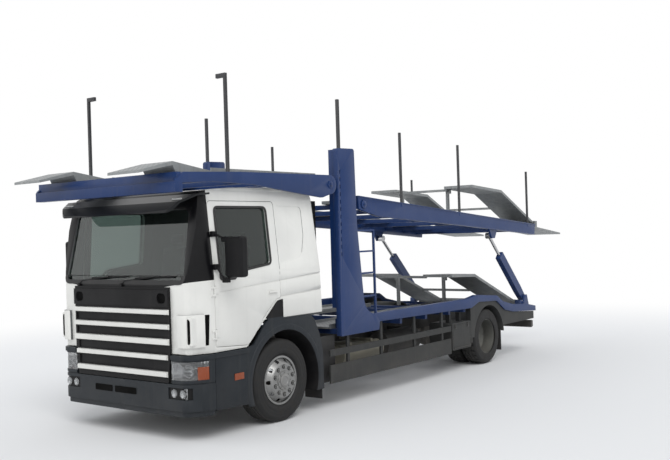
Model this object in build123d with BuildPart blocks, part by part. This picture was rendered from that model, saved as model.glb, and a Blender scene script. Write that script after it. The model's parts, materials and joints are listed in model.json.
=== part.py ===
from build123d import *
import os
from math import atan2, cos, degrees, hypot, radians, sin

# Car transporter truck: a rigid two-axle cab-over lorry with a two-level car carrier body.
# Millimetres. +Z is up, the front faces -Y and +X is the vehicle's left.
# Places along the vehicle are counted from the front axle, rearwards positive.
# A pair such as (low, high) gives a piece's limits along one axis.

os.makedirs("parts", exist_ok=True)

# Whole vehicle
NOSE_Y = -2080.0
WHEELBASE = 5300.0
TAIL_Y = WHEELBASE + 3220.0
FRONT_AXLE_Y = -(NOSE_Y + TAIL_Y) / 2
BODY_HALF = 1265.0
FIT = 0.3
RUN_GAP = 6.0

# Wheels: front single tyres and rear twins
FRONT_TYRE_R = 507.0
FRONT_TYRE_W = 315.0
REAR_TYRE_R = 463.0
REAR_TYRE_W = 295.0
WHEEL_OUT_X = BODY_HALF - 45.0
TWIN_PITCH = 325.0
RIM_SEAT_R = 286.0
RIM_FLANGE_R = 298.0
RIM_WALL = 12.0
DISC_T = 14.0
HUB_R = 118.0
SPINDLE_R = 42.0
NUT_FLANGE_R = 208.0
VENT_COUNT = 10
VENT_R = 25.0
VENT_PITCH_R = 240.0
TWIN_DISH_R = 172.0

# Steering and front axle
KING_X = WHEEL_OUT_X - 220.0
KING_R = 24.0
BEAM_EYE_HALF = 55.0
YOKE_EAR = 32.0
SPRING_X = 385.0

# Chassis rails
RAIL_X = (345.0, 425.0)
RAIL_Z = (660.0, 930.0)
RAIL_Y = (-1230.0, WHEELBASE + 960.0)
RAIL_WALL = 10.0

# Cab
CAB_HALF = BODY_HALF - 50.0
CAB_TOP_HALF = CAB_HALF - 110.0
CAB_WAIST_Z = 1850.0
CAB_WALL = 70.0
CAB_FRONT_Y = -1430.0
CAB_BACK_Y = 825.0
CAB_LOW_Z = 985.0
CAB_REAR_LOW_Z = 1275.0
ROOF_Z = 2880.0
SCREEN_Z = (1790.0, 2610.0)
SCREEN_HALF = (CAB_HALF - 155.0, CAB_TOP_HALF - 95.0)
GLASS_IN = 24.0
GLASS_T = 6.0
DOOR_FRONT_Y = -1110.0
DOOR_BACK_Y = 20.0
DOOR_TOP_Z = 2700.0
DOOR_GAP = 6.0
# Door hinges: heights of the knuckles' undersides, on an axis at the door's outer front edge
HINGE_ROWS = (1150.0, 1640.0)
HINGE_AXIS = (CAB_HALF, DOOR_FRONT_Y + DOOR_GAP)
HINGE_R = 14.0
HINGE_PIN_R = 8.0
HINGE_H = 60.0
EAR_H = 26.0

# Lower front: bumper, grille, skirts and wheel arches
LOW_HALF = CAB_HALF + 15.0
BUMPER_FRONT_Y = -1475.0
BUMPER_LOW_Z = 290.0
BUMPER_T = 60.0
SKIRT_TOP_Z = 975.0
SKIRT_T = 35.0
ARCH_C = (60.0, FRONT_TYRE_R - 7.0)
ARCH_R = FRONT_TYRE_R + 113.0
ARCH_T = 25.0
ARCH_IN_X = WHEEL_OUT_X - 520.0
LEDGE_PROUD = 12.0
GRILLE_HALF = CAB_HALF - 365.0
GRILLE_Z = (655.0, 1735.0)

# Carrier body: side frames with front posts
FRAME_T = 80.0
POST_FRONT_Y = 1165.0
POST_TOP_Z = 3415.0
POST_TOP_BACK_Y = 1565.0
SILL_Z = 1150.0
SILL_H = 120.0
FRAME_LOW_Z = 915.0
FRAME_END_Y = WHEELBASE + 1830.0

# Lower deck
DECK_Z = 1030.0
RUNWAY_X = (BODY_HALF - 765.0, BODY_HALF - 215.0)
RUNWAY_T = 30.0
CROSS_H = 70.0

# Header deck over the cab
HEADER_PIN = (1020.0, 2925.0)
HEADER_T = 40.0
HEADER_PIN_R = 30.0

# Upper deck
UPPER_PIN = (1760.0, 2670.0)
UPPER_FRONT = (1640.0, 2790.0)
UPPER_BACK = (WHEELBASE + 1940.0, 2340.0)
UPPER_T = 65.0
UPPER_PIN_R = 32.0

# Tilting ramps, each drawn from its rear pivot
UPPER_RAMP_PIN = (WHEELBASE + 2300.0, 2395.0)
LOWER_RAMP_PIN = (WHEELBASE + 1400.0, 960.0)

# Rear lifting struts
STRUT_FOOT = (WHEELBASE + 1530.0, 1010.0)
STRUT_EYE = (WHEELBASE + 340.0, 2160.0)
STRUT_X = (BODY_HALF - 185.0, BODY_HALF - 90.0)
STRUT_DEPTH = 150.0
STRUT_WALL = 14.0
SLEEVE_L = 1150.0
ROD_R = 28.0
EYE_R = 52.0
PIN_R = 28.0


def side(x):
    """Upright plane along the vehicle at x, drawn in (place behind the front axle, height)."""
    return Plane(origin=(x, FRONT_AXLE_Y, 0), x_dir=(0, 1, 0), z_dir=(1, 0, 0))


def level(z):
    """Horizontal plane at height z, drawn in (x, place behind the front axle)."""
    return Plane(origin=(0, FRONT_AXLE_Y, z))


def across(y):
    """Upright plane across the vehicle, facing forwards, drawn in (x, height)."""
    return Plane(origin=(0, FRONT_AXLE_Y + y, 0), x_dir=(1, 0, 0), z_dir=(0, -1, 0))


def block(x, y, z, mode=Mode.ADD):
    """Box between three pairs of limits, in the block that is open."""
    centre = ((x[0] + x[1]) / 2, FRONT_AXLE_Y + (y[0] + y[1]) / 2, (z[0] + z[1]) / 2)
    with Locations(centre):
        Box(x[1] - x[0], y[1] - y[0], z[1] - z[0], mode=mode)


def plate(points, x, mode=Mode.ADD):
    """Side outline in (place, height), extruded between two values of x."""
    with BuildSketch(side(x[0])) as outline:
        with BuildLine():
            Polyline(*points, close=True)
        make_face()
    extrude(outline.sketch, amount=x[1] - x[0], mode=mode)


def rod(x, place, radius, mode=Mode.ADD):
    """Round bar across the vehicle between two values of x, at (place, height)."""
    with BuildSketch(side(x[0])) as outline:
        with Locations(place):
            Circle(radius)
    extrude(outline.sketch, amount=x[1] - x[0], mode=mode)


def turned(y, z, points):
    """Body turned about the axle line at y and z, from a section in (x, radius)."""
    hub_line = Plane(origin=(0, FRONT_AXLE_Y + y, z), x_dir=(1, 0, 0), z_dir=(0, -1, 0))
    with BuildSketch(hub_line) as section:
        with BuildLine():
            Polyline(*points, close=True)
        make_face()
    revolve(section.sketch, axis=Axis((0, FRONT_AXLE_Y + y, z), (1, 0, 0)))


# Tyres: the section is drawn from the rim seat out to the tread
def tyre(centre_x, y, radius, width):
    """Tyre about the axle line at y, in the block that is open."""
    half = width / 2
    seat_half = half - 35
    seat = RIM_SEAT_R + FIT
    axle = Plane(origin=(centre_x, FRONT_AXLE_Y + y, radius), x_dir=(1, 0, 0), z_dir=(0, -1, 0))
    flank = [
        (seat_half, seat), (seat_half, RIM_FLANGE_R + 8), (half, radius - 125), (half - 8, radius - 45),
        (half - 42, radius),
    ]
    with BuildSketch(axle) as section:
        with BuildLine():
            Polyline(*flank, *[(-x, r) for x, r in reversed(flank)], close=True)
        make_face()
    revolve(section.sketch, axis=Axis((0, FRONT_AXLE_Y + y, radius), (1, 0, 0)))


FRONT_TYRE_X = WHEEL_OUT_X - FRONT_TYRE_W / 2
OUTER_TWIN_X = WHEEL_OUT_X - REAR_TYRE_W / 2
INNER_TWIN_X = OUTER_TWIN_X - TWIN_PITCH

with BuildPart() as tyre_front_left:
    tyre(FRONT_TYRE_X, 0, FRONT_TYRE_R, FRONT_TYRE_W)
tyre_front_left.part.label = "tyre_front_left"
export_step(tyre_front_left.part, "parts/tyre_front_left.step")

with BuildPart() as tyre_front_right:
    mirror(tyre_front_left.part, about=Plane.YZ)
tyre_front_right.part.label = "tyre_front_right"
export_step(tyre_front_right.part, "parts/tyre_front_right.step")

with BuildPart() as tyres_rear_left:
    for twin_x in (OUTER_TWIN_X, INNER_TWIN_X):
        tyre(twin_x, WHEELBASE, REAR_TYRE_R, REAR_TYRE_W)
tyres_rear_left.part.label = "tyres_rear_left"
export_step(tyres_rear_left.part, "parts/tyres_rear_left.step")

with BuildPart() as tyres_rear_right:
    mirror(tyres_rear_left.part, about=Plane.YZ)
tyres_rear_right.part.label = "tyres_rear_right"
export_step(tyres_rear_right.part, "parts/tyres_rear_right.step")

# Front rim: a cone with a ring of round vents, the flat flange for the nuts and the hub's cap.
# Section rows are (x, radius) from the inner lip round to the hub and back.
FRONT_LIP = FRONT_TYRE_W / 2 - 35
DISC_X = FRONT_TYRE_X + 92.0
HUB_FACE_X = DISC_X + 92.0
BARREL_R = RIM_SEAT_R - RIM_WALL
YOKE_REACH = 90.0
HUB_BACK_X = KING_X + YOKE_REACH + RUN_GAP

with BuildPart() as rim_front_left:
    lip_in = FRONT_TYRE_X - FRONT_LIP
    lip_out = FRONT_TYRE_X + FRONT_LIP
    turned(0, FRONT_TYRE_R, [
        (lip_in - 8, RIM_FLANGE_R), (lip_in - FIT, RIM_FLANGE_R), (lip_in - FIT, RIM_SEAT_R),
        (lip_out + FIT, RIM_SEAT_R), (lip_out + FIT, RIM_FLANGE_R), (lip_out + 8, RIM_FLANGE_R),
        (lip_out + 8, BARREL_R), (DISC_X + DISC_T, BARREL_R), (HUB_FACE_X - 5, NUT_FLANGE_R + 4),
        (HUB_FACE_X, NUT_FLANGE_R - 6), (HUB_FACE_X, HUB_R), (HUB_FACE_X + 12, HUB_R - 3),
        (HUB_FACE_X + 12, 0), (HUB_FACE_X - 10, 0), (HUB_FACE_X - 10, SPINDLE_R + FIT),
        (HUB_BACK_X, SPINDLE_R + FIT), (HUB_BACK_X, HUB_R - 30), (HUB_FACE_X - DISC_T - 8, HUB_R - 30),
        (HUB_FACE_X - DISC_T, NUT_FLANGE_R - 4), (DISC_X, BARREL_R), (lip_in - 8, BARREL_R),
    ])
    vent_plane = Plane(origin=(DISC_X - 60, FRONT_AXLE_Y, FRONT_TYRE_R), x_dir=(0, 1, 0), z_dir=(1, 0, 0))
    with BuildSketch(vent_plane):
        with PolarLocations(VENT_PITCH_R, VENT_COUNT):
            Circle(VENT_R)
    extrude(amount=130, mode=Mode.SUBTRACT)
rim_front_left.part.label = "rim_front_left"
export_step(rim_front_left.part, "parts/rim_front_left.step")

with BuildPart() as rim_front_right:
    mirror(rim_front_left.part, about=Plane.YZ)
rim_front_right.part.label = "rim_front_right"
export_step(rim_front_right.part, "parts/rim_front_right.step")

# Rear rims: two deep-dished rims back to back on one hub
TWIN_LIP = REAR_TYRE_W / 2 - 35
TWIN_MID = (OUTER_TWIN_X + INNER_TWIN_X) / 2
REAR_HUB_OUT = 105.0

with BuildPart() as rims_rear_left:
    for centre_x, facing in ((OUTER_TWIN_X, 1), (INNER_TWIN_X, -1)):
        near_lip = centre_x - facing * TWIN_LIP
        far_lip = centre_x + facing * TWIN_LIP
        turned(WHEELBASE, REAR_TYRE_R, [
            (near_lip - facing * 8, RIM_FLANGE_R), (near_lip - facing * FIT, RIM_FLANGE_R),
            (near_lip - facing * FIT, RIM_SEAT_R), (far_lip + facing * FIT, RIM_SEAT_R),
            (far_lip + facing * FIT, RIM_FLANGE_R), (far_lip + facing * 8, RIM_FLANGE_R),
            (far_lip + facing * 8, BARREL_R), (near_lip + facing * 40, BARREL_R),
            (TWIN_MID + facing * DISC_T, TWIN_DISH_R), (TWIN_MID + facing * DISC_T, SPINDLE_R + FIT),
            (TWIN_MID, SPINDLE_R + FIT), (TWIN_MID, TWIN_DISH_R),
            (near_lip + facing * 10, BARREL_R), (near_lip - facing * 8, BARREL_R),
        ])
    turned(WHEELBASE, REAR_TYRE_R, [
        (TWIN_MID, SPINDLE_R + FIT), (TWIN_MID, HUB_R + 22), (TWIN_MID + 36, HUB_R + 22),
        (TWIN_MID + 36, HUB_R), (TWIN_MID + REAR_HUB_OUT, HUB_R - 14), (TWIN_MID + REAR_HUB_OUT + 14, HUB_R - 40),
        (TWIN_MID + REAR_HUB_OUT + 14, 0), (TWIN_MID + REAR_HUB_OUT - 12, 0),
        (TWIN_MID + REAR_HUB_OUT - 12, SPINDLE_R + FIT),
    ])
rims_rear_left.part.label = "rims_rear_left"
export_step(rims_rear_left.part, "parts/rims_rear_left.step")

with BuildPart() as rims_rear_right:
    mirror(rims_rear_left.part, about=Plane.YZ)
rims_rear_right.part.label = "rims_rear_right"
export_step(rims_rear_right.part, "parts/rims_rear_right.step")

# Steering knuckle: yoke round the axle's eye, kingpin and the wheel's spindle with its brake shield
EAR_LOW = BEAM_EYE_HALF + 2.0

with BuildPart() as knuckle_left:
    for ear_z in (FRONT_TYRE_R + EAR_LOW, FRONT_TYRE_R - EAR_LOW - YOKE_EAR):
        with BuildSketch(level(ear_z)):
            Circle(52)
            with Locations((YOKE_REACH / 2, 0)):
                Rectangle(YOKE_REACH, 84)
        extrude(amount=YOKE_EAR)
    with BuildSketch(level(FRONT_TYRE_R - EAR_LOW - YOKE_EAR)):
        with Locations((YOKE_REACH - 16, 0)):
            Rectangle(32, 120)
    extrude(amount=2 * (EAR_LOW + YOKE_EAR))
    with BuildSketch(level(FRONT_TYRE_R - EAR_LOW)):
        Circle(KING_R)
    extrude(amount=2 * EAR_LOW)
    spindle_start = YOKE_REACH - 16
    with BuildSketch(Plane(origin=(spindle_start, FRONT_AXLE_Y, FRONT_TYRE_R), x_dir=(0, 1, 0), z_dir=(1, 0, 0))):
        Circle(SPINDLE_R)
    extrude(amount=HUB_FACE_X - 12 - KING_X - spindle_start)
knuckle_left.part = knuckle_left.part.moved(Location((KING_X, 0, 0)))
knuckle_left.part.label = "knuckle_left"
export_step(knuckle_left.part, "parts/knuckle_left.step")

with BuildPart() as knuckle_right:
    mirror(knuckle_left.part, about=Plane.YZ)
knuckle_right.part.label = "knuckle_right"
export_step(knuckle_right.part, "parts/knuckle_right.step")

# Front axle: dropped beam with an eye at each end, and the leaf springs that it hangs from
BEAM_LOW = (390.0, 470.0)
BEAM_HALF_Y = 42.0
SPRING_HALF_W = 38.0
SPRING_REACH = (-740.0, 760.0)
LEAF_T = 18.0

with BuildPart() as front_axle:
    drop_x = KING_X - 260
    with BuildSketch(across(-BEAM_HALF_Y)):
        with BuildLine():
            Polyline(
                (0, BEAM_LOW[0]), (drop_x, BEAM_LOW[0]), (KING_X - 60, FRONT_TYRE_R - BEAM_EYE_HALF),
                (KING_X - 20, FRONT_TYRE_R - BEAM_EYE_HALF), (KING_X - 20, FRONT_TYRE_R + BEAM_EYE_HALF),
                (KING_X - 90, FRONT_TYRE_R + BEAM_EYE_HALF), (drop_x - 40, BEAM_LOW[1]), (0, BEAM_LOW[1]),
                close=True,
            )
        make_face()
    extrude(amount=-2 * BEAM_HALF_Y)
    with BuildSketch(level(FRONT_TYRE_R - BEAM_EYE_HALF)):
        with Locations((KING_X, 0)):
            Circle(48)
    extrude(amount=2 * BEAM_EYE_HALF)
    with BuildSketch(level(FRONT_TYRE_R - BEAM_EYE_HALF)):
        with Locations((KING_X, 0)):
            Circle(KING_R + FIT)
    extrude(amount=2 * BEAM_EYE_HALF, mode=Mode.SUBTRACT)
    spring_x = (SPRING_X - SPRING_HALF_W, SPRING_X + SPRING_HALF_W)
    block(spring_x, (-95, 95), (BEAM_LOW[1] - 10, BEAM_LOW[1] + 45))
    # Leaves: each row is (half length, height of its underside)
    for half_length, leaf_z in ((330, 0), (540, 1), (750, 2)):
        low = BEAM_LOW[1] + 45 + leaf_z * LEAF_T
        rise = 34.0 if leaf_z == 2 else 8.0
        plate([
            (-half_length, low + rise), (-180, low), (180, low), (half_length, low + rise),
            (half_length, low + rise + LEAF_T), (180, low + LEAF_T), (-180, low + LEAF_T),
            (-half_length, low + rise + LEAF_T),
        ], spring_x)
    for hanger_y in SPRING_REACH:
        plate([
            (hanger_y - 70, RAIL_Z[0] - FIT), (hanger_y - 30, BEAM_LOW[1] + 75), (hanger_y + 30, BEAM_LOW[1] + 75),
            (hanger_y + 70, RAIL_Z[0] - FIT),
        ], spring_x)
    mirror(about=Plane.YZ)
front_axle.part.label = "front_axle"
export_step(front_axle.part, "parts/front_axle.step")

# Rear axle: housing with its drive head, trailing arms and air bellows
ARM_Z = (REAR_TYRE_R - 138, REAR_TYRE_R - 78)
BELLOWS_R = 120.0

DRUM_END_X = TWIN_MID - DISC_T - RUN_GAP

with BuildPart() as rear_axle:
    turned(WHEELBASE, REAR_TYRE_R, [
        (0, 0), (0, 205), (60, 205), (130, 170), (210, 85), (TWIN_MID - 190, 78), (TWIN_MID - 190, 150),
        (DRUM_END_X, 150), (DRUM_END_X, SPINDLE_R), (TWIN_MID + REAR_HUB_OUT - 14, SPINDLE_R),
        (TWIN_MID + REAR_HUB_OUT - 14, 0),
    ])
    with BuildSketch(across(WHEELBASE - 120)):
        with Locations((0, REAR_TYRE_R)):
            Circle(105)
    extrude(amount=190, taper=12)
    arm_x = (RAIL_X[0], RAIL_X[1])
    plate([
        (WHEELBASE - 640, ARM_Z[0] + 60), (WHEELBASE - 640, ARM_Z[1] + 60), (WHEELBASE - 120, ARM_Z[1] + 8),
        (WHEELBASE + 120, ARM_Z[1] + 8), (WHEELBASE + 620, ARM_Z[1]), (WHEELBASE + 620, ARM_Z[0]),
        (WHEELBASE + 100, ARM_Z[0]), (WHEELBASE - 100, ARM_Z[0]),
    ], arm_x)
    plate([
        (WHEELBASE - 720, RAIL_Z[0] - FIT), (WHEELBASE - 680, ARM_Z[0] + 40), (WHEELBASE - 600, ARM_Z[0] + 40),
        (WHEELBASE - 540, RAIL_Z[0] - FIT),
    ], arm_x)
    with BuildSketch(level(ARM_Z[1])):
        with Locations((SPRING_X, WHEELBASE + 500)):
            Circle(BELLOWS_R)
    extrude(amount=RAIL_Z[0] - FIT - ARM_Z[1])
    mirror(about=Plane.YZ)
rear_axle.part.label = "rear_axle"
export_step(rear_axle.part, "parts/rear_axle.step")

# Chassis: two channel rails with their crossmembers between
CAB_FRONT_MOUNT_Y = (-1170.0, -1070.0)
CAB_REAR_MOUNT_Y = (640.0, 740.0)

with BuildPart() as chassis_frame:
    channel_in = RAIL_X[0]
    with BuildSketch(across(RAIL_Y[0])):
        with BuildLine():
            Polyline(
                (channel_in, RAIL_Z[0]), (RAIL_X[1], RAIL_Z[0]), (RAIL_X[1], RAIL_Z[1]), (channel_in, RAIL_Z[1]),
                (channel_in, RAIL_Z[1] - RAIL_WALL), (RAIL_X[1] - RAIL_WALL, RAIL_Z[1] - RAIL_WALL),
                (RAIL_X[1] - RAIL_WALL, RAIL_Z[0] + RAIL_WALL), (channel_in, RAIL_Z[0] + RAIL_WALL), close=True,
            )
        make_face()
    extrude(amount=-(RAIL_Y[1] - RAIL_Y[0]))
    for member_y in (RAIL_Y[0], 1700.0, 3200.0, WHEELBASE - 640, WHEELBASE + 480, RAIL_Y[1] - 80):
        block((0, RAIL_X[1] - RAIL_WALL), (member_y, member_y + 80), (RAIL_Z[0] + 60, RAIL_Z[1] - 60))
    # Cab mounts: low pads in front, and behind the engine an arch that reaches the raised floor
    block(RAIL_X, CAB_FRONT_MOUNT_Y, (RAIL_Z[1] - RAIL_WALL, CAB_LOW_Z - FIT))
    block(RAIL_X, CAB_REAR_MOUNT_Y, (RAIL_Z[1] - RAIL_WALL, CAB_REAR_LOW_Z - FIT))
    block((0, RAIL_X[1]), CAB_REAR_MOUNT_Y, (CAB_REAR_LOW_Z - 130, CAB_REAR_LOW_Z - 50))
    mirror(about=Plane.YZ)
chassis_frame.part.label = "chassis_frame"
export_step(chassis_frame.part, "parts/chassis_frame.step")

# Engine with its gearbox, one plain block, and the shaft back to the drive axle
ENGINE_Y = (-540.0, 560.0)
GEARBOX_END_Y = 1400.0
ENGINE_HALF = 320.0
SHAFT_R = 52.0

with BuildPart() as engine_block:
    plate([
        (ENGINE_Y[0], 540), (GEARBOX_END_Y - 60, 540), (GEARBOX_END_Y - 60, 840), (ENGINE_Y[1], 900),
        (ENGINE_Y[1], CAB_REAR_LOW_Z - 40), (ENGINE_Y[0] + 320, CAB_REAR_LOW_Z - 40), (ENGINE_Y[0], 930),
    ], (-ENGINE_HALF, ENGINE_HALF))
    for mount_y in (ENGINE_Y[0] + 120, GEARBOX_END_Y - 300):
        block((-RAIL_X[0] - 60, RAIL_X[0] + 60), (mount_y, mount_y + 90), (RAIL_Z[0] + 90, RAIL_Z[1] - 90))
engine_block.part.label = "engine_block"
export_step(engine_block.part, "parts/engine_block.step")

with BuildPart() as propshaft:
    shaft_front = (GEARBOX_END_Y - 60, 640.0)
    shaft_back = (WHEELBASE - 310, REAR_TYRE_R + 12)
    slope = (shaft_front[1] - shaft_back[1]) / (shaft_back[0] - shaft_front[0])
    end_gap = SHAFT_R * slope + FIT
    shaft_start = Vector(0, FRONT_AXLE_Y + shaft_front[0] + end_gap, shaft_front[1])
    shaft_end = Vector(0, FRONT_AXLE_Y + shaft_back[0] - end_gap, shaft_back[1])
    with BuildSketch(Plane(origin=shaft_start, z_dir=(shaft_end - shaft_start).normalized())):
        Circle(SHAFT_R)
    extrude(amount=(shaft_end - shaft_start).length)
propshaft.part.label = "propshaft"
export_step(propshaft.part, "parts/propshaft.step")


# Cab: one outer form and one inner form give the walls their thickness
def cab_form(inset):
    """The cab's outside, drawn in by inset on every side."""
    with BuildPart() as form:
        with BuildSketch(side(0)) as side_view:
            with BuildLine():
                FilletPolyline(
                    (CAB_FRONT_Y, CAB_LOW_Z), (CAB_FRONT_Y - 10, SCREEN_Z[0] - 30), (CAB_FRONT_Y + 205, ROOF_Z - 70),
                    (CAB_FRONT_Y + 700, ROOF_Z - 25), (CAB_BACK_Y - 420, ROOF_Z), (CAB_BACK_Y - 60, ROOF_Z - 55),
                    (CAB_BACK_Y, CAB_REAR_LOW_Z), (-290, CAB_REAR_LOW_Z), (-600, CAB_LOW_Z),
                    radius=(8, 60, 110, 500, 500, 130, 8, 60, 60), close=True,
                )
            make_face()
            if inset:
                offset(amount=-inset, kind=Kind.INTERSECTION)
        extrude(side_view.sketch, amount=CAB_HALF + 100, both=True)
        with BuildSketch(across(CAB_FRONT_Y - 400)) as front_view:
            with BuildLine():
                FilletPolyline(
                    (-CAB_HALF, 700), (-CAB_HALF, CAB_WAIST_Z), (-CAB_TOP_HALF, ROOF_Z + 20),
                    (CAB_TOP_HALF, ROOF_Z + 20),
                    (CAB_HALF, CAB_WAIST_Z), (CAB_HALF, 700), radius=(8, 300, 120, 120, 300, 8), close=True,
                )
            make_face()
            if inset:
                offset(amount=-inset, kind=Kind.INTERSECTION)
        extrude(front_view.sketch, amount=-4000, mode=Mode.INTERSECT)
        with BuildSketch(level(500)) as plan_view:
            with BuildLine():
                FilletPolyline(
                    (CAB_HALF, 1200), (CAB_HALF, CAB_FRONT_Y + 260), (CAB_HALF - 120, CAB_FRONT_Y - 15),
                    (120 - CAB_HALF, CAB_FRONT_Y - 15), (-CAB_HALF, CAB_FRONT_Y + 260), (-CAB_HALF, 1200),
                    radius=(8, 200, 110, 110, 200, 8), close=True,
                )
            make_face()
            if inset:
                offset(amount=-inset, kind=Kind.INTERSECTION)
        extrude(plan_view.sketch, amount=3000, mode=Mode.INTERSECT)
    return form.part


CAB_OUTER = cab_form(0)
CAB_INNER = cab_form(CAB_WALL)
PRESS_DEPTH = 6.0
CAB_PRESSED = cab_form(PRESS_DEPTH)
GUIDE_PROUD = 30.0
GUIDE_Z = (1063.0, 1427.0)
GUIDE_X = CAB_HALF - 250.0
GUIDE_BACK_Y = DOOR_FRONT_Y - 152.0
# Swage rows are (front end, height there, rear end, height there); the recess lies behind the door
SWAGE_H = 14.0
SWAGE_ROWS = (
    (DOOR_FRONT_Y + 90, 1655.0, CAB_BACK_Y + 20, 1772.0), (DOOR_BACK_Y - 10, 1522.0, CAB_BACK_Y + 20, 1562.0),
)
RECESS_OUTLINE = (
    (DOOR_BACK_Y + 45, 2645), (DOOR_BACK_Y + 525, 2635), (DOOR_BACK_Y + 520, 2270), (DOOR_BACK_Y + 445, 2010),
    (DOOR_BACK_Y + 45, 1925),
)


def pressed():
    """The thin layer of the left cab side that its swage lines and the rear recess take away."""
    with BuildPart() as layer:
        with BuildSketch(side(CAB_TOP_HALF - 160)) as lines:
            for front_y, front_z, back_y, back_z in SWAGE_ROWS:
                with BuildLine():
                    Polyline(
                        (front_y, front_z), (back_y, back_z), (back_y, back_z + SWAGE_H),
                        (front_y, front_z + SWAGE_H), close=True,
                    )
                make_face()
            with BuildLine():
                FilletPolyline(*RECESS_OUTLINE, radius=(30, 60, 150, 90, 30), close=True)
            make_face()
        extrude(lines.sketch, amount=600)
        add(CAB_PRESSED, mode=Mode.SUBTRACT)
    return layer.part


SIDE_PRESSING = pressed()

# Air guide on the left front corner: a raised form with an upright slot in front
with BuildPart() as air_guide:
    add(cab_form(-GUIDE_PROUD))
    block((GUIDE_X, CAB_HALF + 200), (CAB_FRONT_Y - 200, GUIDE_BACK_Y), GUIDE_Z, mode=Mode.INTERSECT)
    add(CAB_OUTER, mode=Mode.SUBTRACT)
    with BuildSketch(across(CAB_FRONT_Y - 300)):
        with Locations((CAB_HALF - 88, (GUIDE_Z[0] + GUIDE_Z[1]) / 2)):
            RectangleRounded(40, 290, 19)
    extrude(amount=-500, mode=Mode.SUBTRACT)
DOOR_OUTLINE = (
    (DOOR_FRONT_Y, CAB_LOW_Z + 55), (DOOR_FRONT_Y, DOOR_TOP_Z), (DOOR_BACK_Y, DOOR_TOP_Z),
    (DOOR_BACK_Y, 1515), (-60, 1500), (-275, 1315), (-520, 1040), (-590, CAB_LOW_Z + 20),
)
WINDOW_OUTLINE = (
    (-1005, 1800), (-1005, 2625), (-130, 2625), (-130, 1945), (-700, 1880), (-770, 1800),
)


def door_slab(gap):
    """The left cab wall inside the door's outline, drawn in by gap all round."""
    with BuildPart() as slab:
        with BuildSketch(side(CAB_TOP_HALF - 160)) as outline:
            with BuildLine():
                FilletPolyline(*DOOR_OUTLINE, radius=(30, 50, 50, 12, 40, 120, 60, 20), close=True)
            make_face()
            if gap:
                offset(amount=-gap)
        extrude(outline.sketch, amount=600)
        add(CAB_OUTER, mode=Mode.INTERSECT)
        add(CAB_INNER, mode=Mode.SUBTRACT)
        inner_half = CAB_HALF - CAB_WALL + gap
        block((-inner_half, inner_half), (-1400, 400), (900, CAB_REAR_LOW_Z + CAB_WALL + gap), mode=Mode.SUBTRACT)
    return slab.part


def upright(z, height, radius, mode=Mode.ADD):
    """Upright round bar on the left door's hinge axis, in the block that is open."""
    with BuildSketch(level(z)) as outline:
        with Locations(HINGE_AXIS):
            Circle(radius)
    extrude(outline.sketch, amount=height, mode=mode)


# Door hinges: the cab's two ears hold a pin, on which the door's knuckle between them turns
with BuildPart() as hinge_ears:
    for hinge_z in HINGE_ROWS:
        upright(hinge_z - FIT - EAR_H, HINGE_H + 2 * (EAR_H + FIT), HINGE_PIN_R)
        for ear_z in (hinge_z - FIT - EAR_H, hinge_z + HINGE_H + FIT):
            upright(ear_z, EAR_H, HINGE_R)
            block((CAB_HALF - 8, CAB_HALF + 8), (HINGE_AXIS[1] - 60, HINGE_AXIS[1]), (ear_z, ear_z + EAR_H))
with BuildPart() as hinge_recess:
    for hinge_z in HINGE_ROWS:
        upright(hinge_z - RUN_GAP, HINGE_H + 2 * RUN_GAP, HINGE_R + RUN_GAP)


with BuildPart() as cab_shell:
    add(CAB_OUTER)
    add(CAB_INNER, mode=Mode.SUBTRACT)
    with BuildSketch(across(CAB_FRONT_Y - 300)):
        with BuildLine():
            FilletPolyline(
                (-SCREEN_HALF[0], SCREEN_Z[0]), (-SCREEN_HALF[1], SCREEN_Z[1]), (SCREEN_HALF[1], SCREEN_Z[1]),
                (SCREEN_HALF[0], SCREEN_Z[0]), radius=70, close=True,
            )
        make_face()
    extrude(amount=-800, mode=Mode.SUBTRACT)
    door_opening = door_slab(0)
    add(door_opening, mode=Mode.SUBTRACT)
    add(door_opening.mirror(Plane.YZ), mode=Mode.SUBTRACT)
    for recess in (hinge_recess.part, hinge_recess.part.mirror(Plane.YZ)):
        add(recess, mode=Mode.SUBTRACT)
    for pressing in (SIDE_PRESSING, SIDE_PRESSING.mirror(Plane.YZ)):
        add(pressing, mode=Mode.SUBTRACT)
    for ears in (hinge_ears.part, hinge_ears.part.mirror(Plane.YZ)):
        add(ears)
    for guide in (air_guide.part, air_guide.part.mirror(Plane.YZ)):
        add(guide)
cab_shell.part.label = "cab_shell"
export_step(cab_shell.part, "parts/cab_shell.step")

with BuildPart() as door_left:
    add(door_slab(DOOR_GAP))
    with BuildSketch(side(CAB_TOP_HALF - 160)):
        with BuildLine():
            FilletPolyline(*WINDOW_OUTLINE, radius=(40, 60, 60, 60, 60, 30), close=True)
        make_face()
    extrude(amount=600, mode=Mode.SUBTRACT)
    add(SIDE_PRESSING, mode=Mode.SUBTRACT)
    for hinge_z in HINGE_ROWS:
        for ear_z in (hinge_z - FIT - EAR_H, hinge_z + HINGE_H + FIT):
            upright(ear_z - RUN_GAP, EAR_H + 2 * RUN_GAP, HINGE_R + RUN_GAP, mode=Mode.SUBTRACT)
        upright(hinge_z, HINGE_H, HINGE_R)
        block((CAB_HALF - 8, CAB_HALF + 8), (HINGE_AXIS[1], HINGE_AXIS[1] + 60), (hinge_z, hinge_z + HINGE_H))
        upright(hinge_z, HINGE_H, HINGE_PIN_R + FIT, mode=Mode.SUBTRACT)
door_left.part.label = "door_left"
export_step(door_left.part, "parts/door_left.step")

with BuildPart() as door_right:
    mirror(door_left.part, about=Plane.YZ)
door_right.part.label = "door_right"
export_step(door_right.part, "parts/door_right.step")

# Glass: thin panes that follow the cab's form inside its openings
PANE_OUTER = cab_form(GLASS_IN)
PANE_INNER = cab_form(GLASS_IN + GLASS_T)

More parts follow.
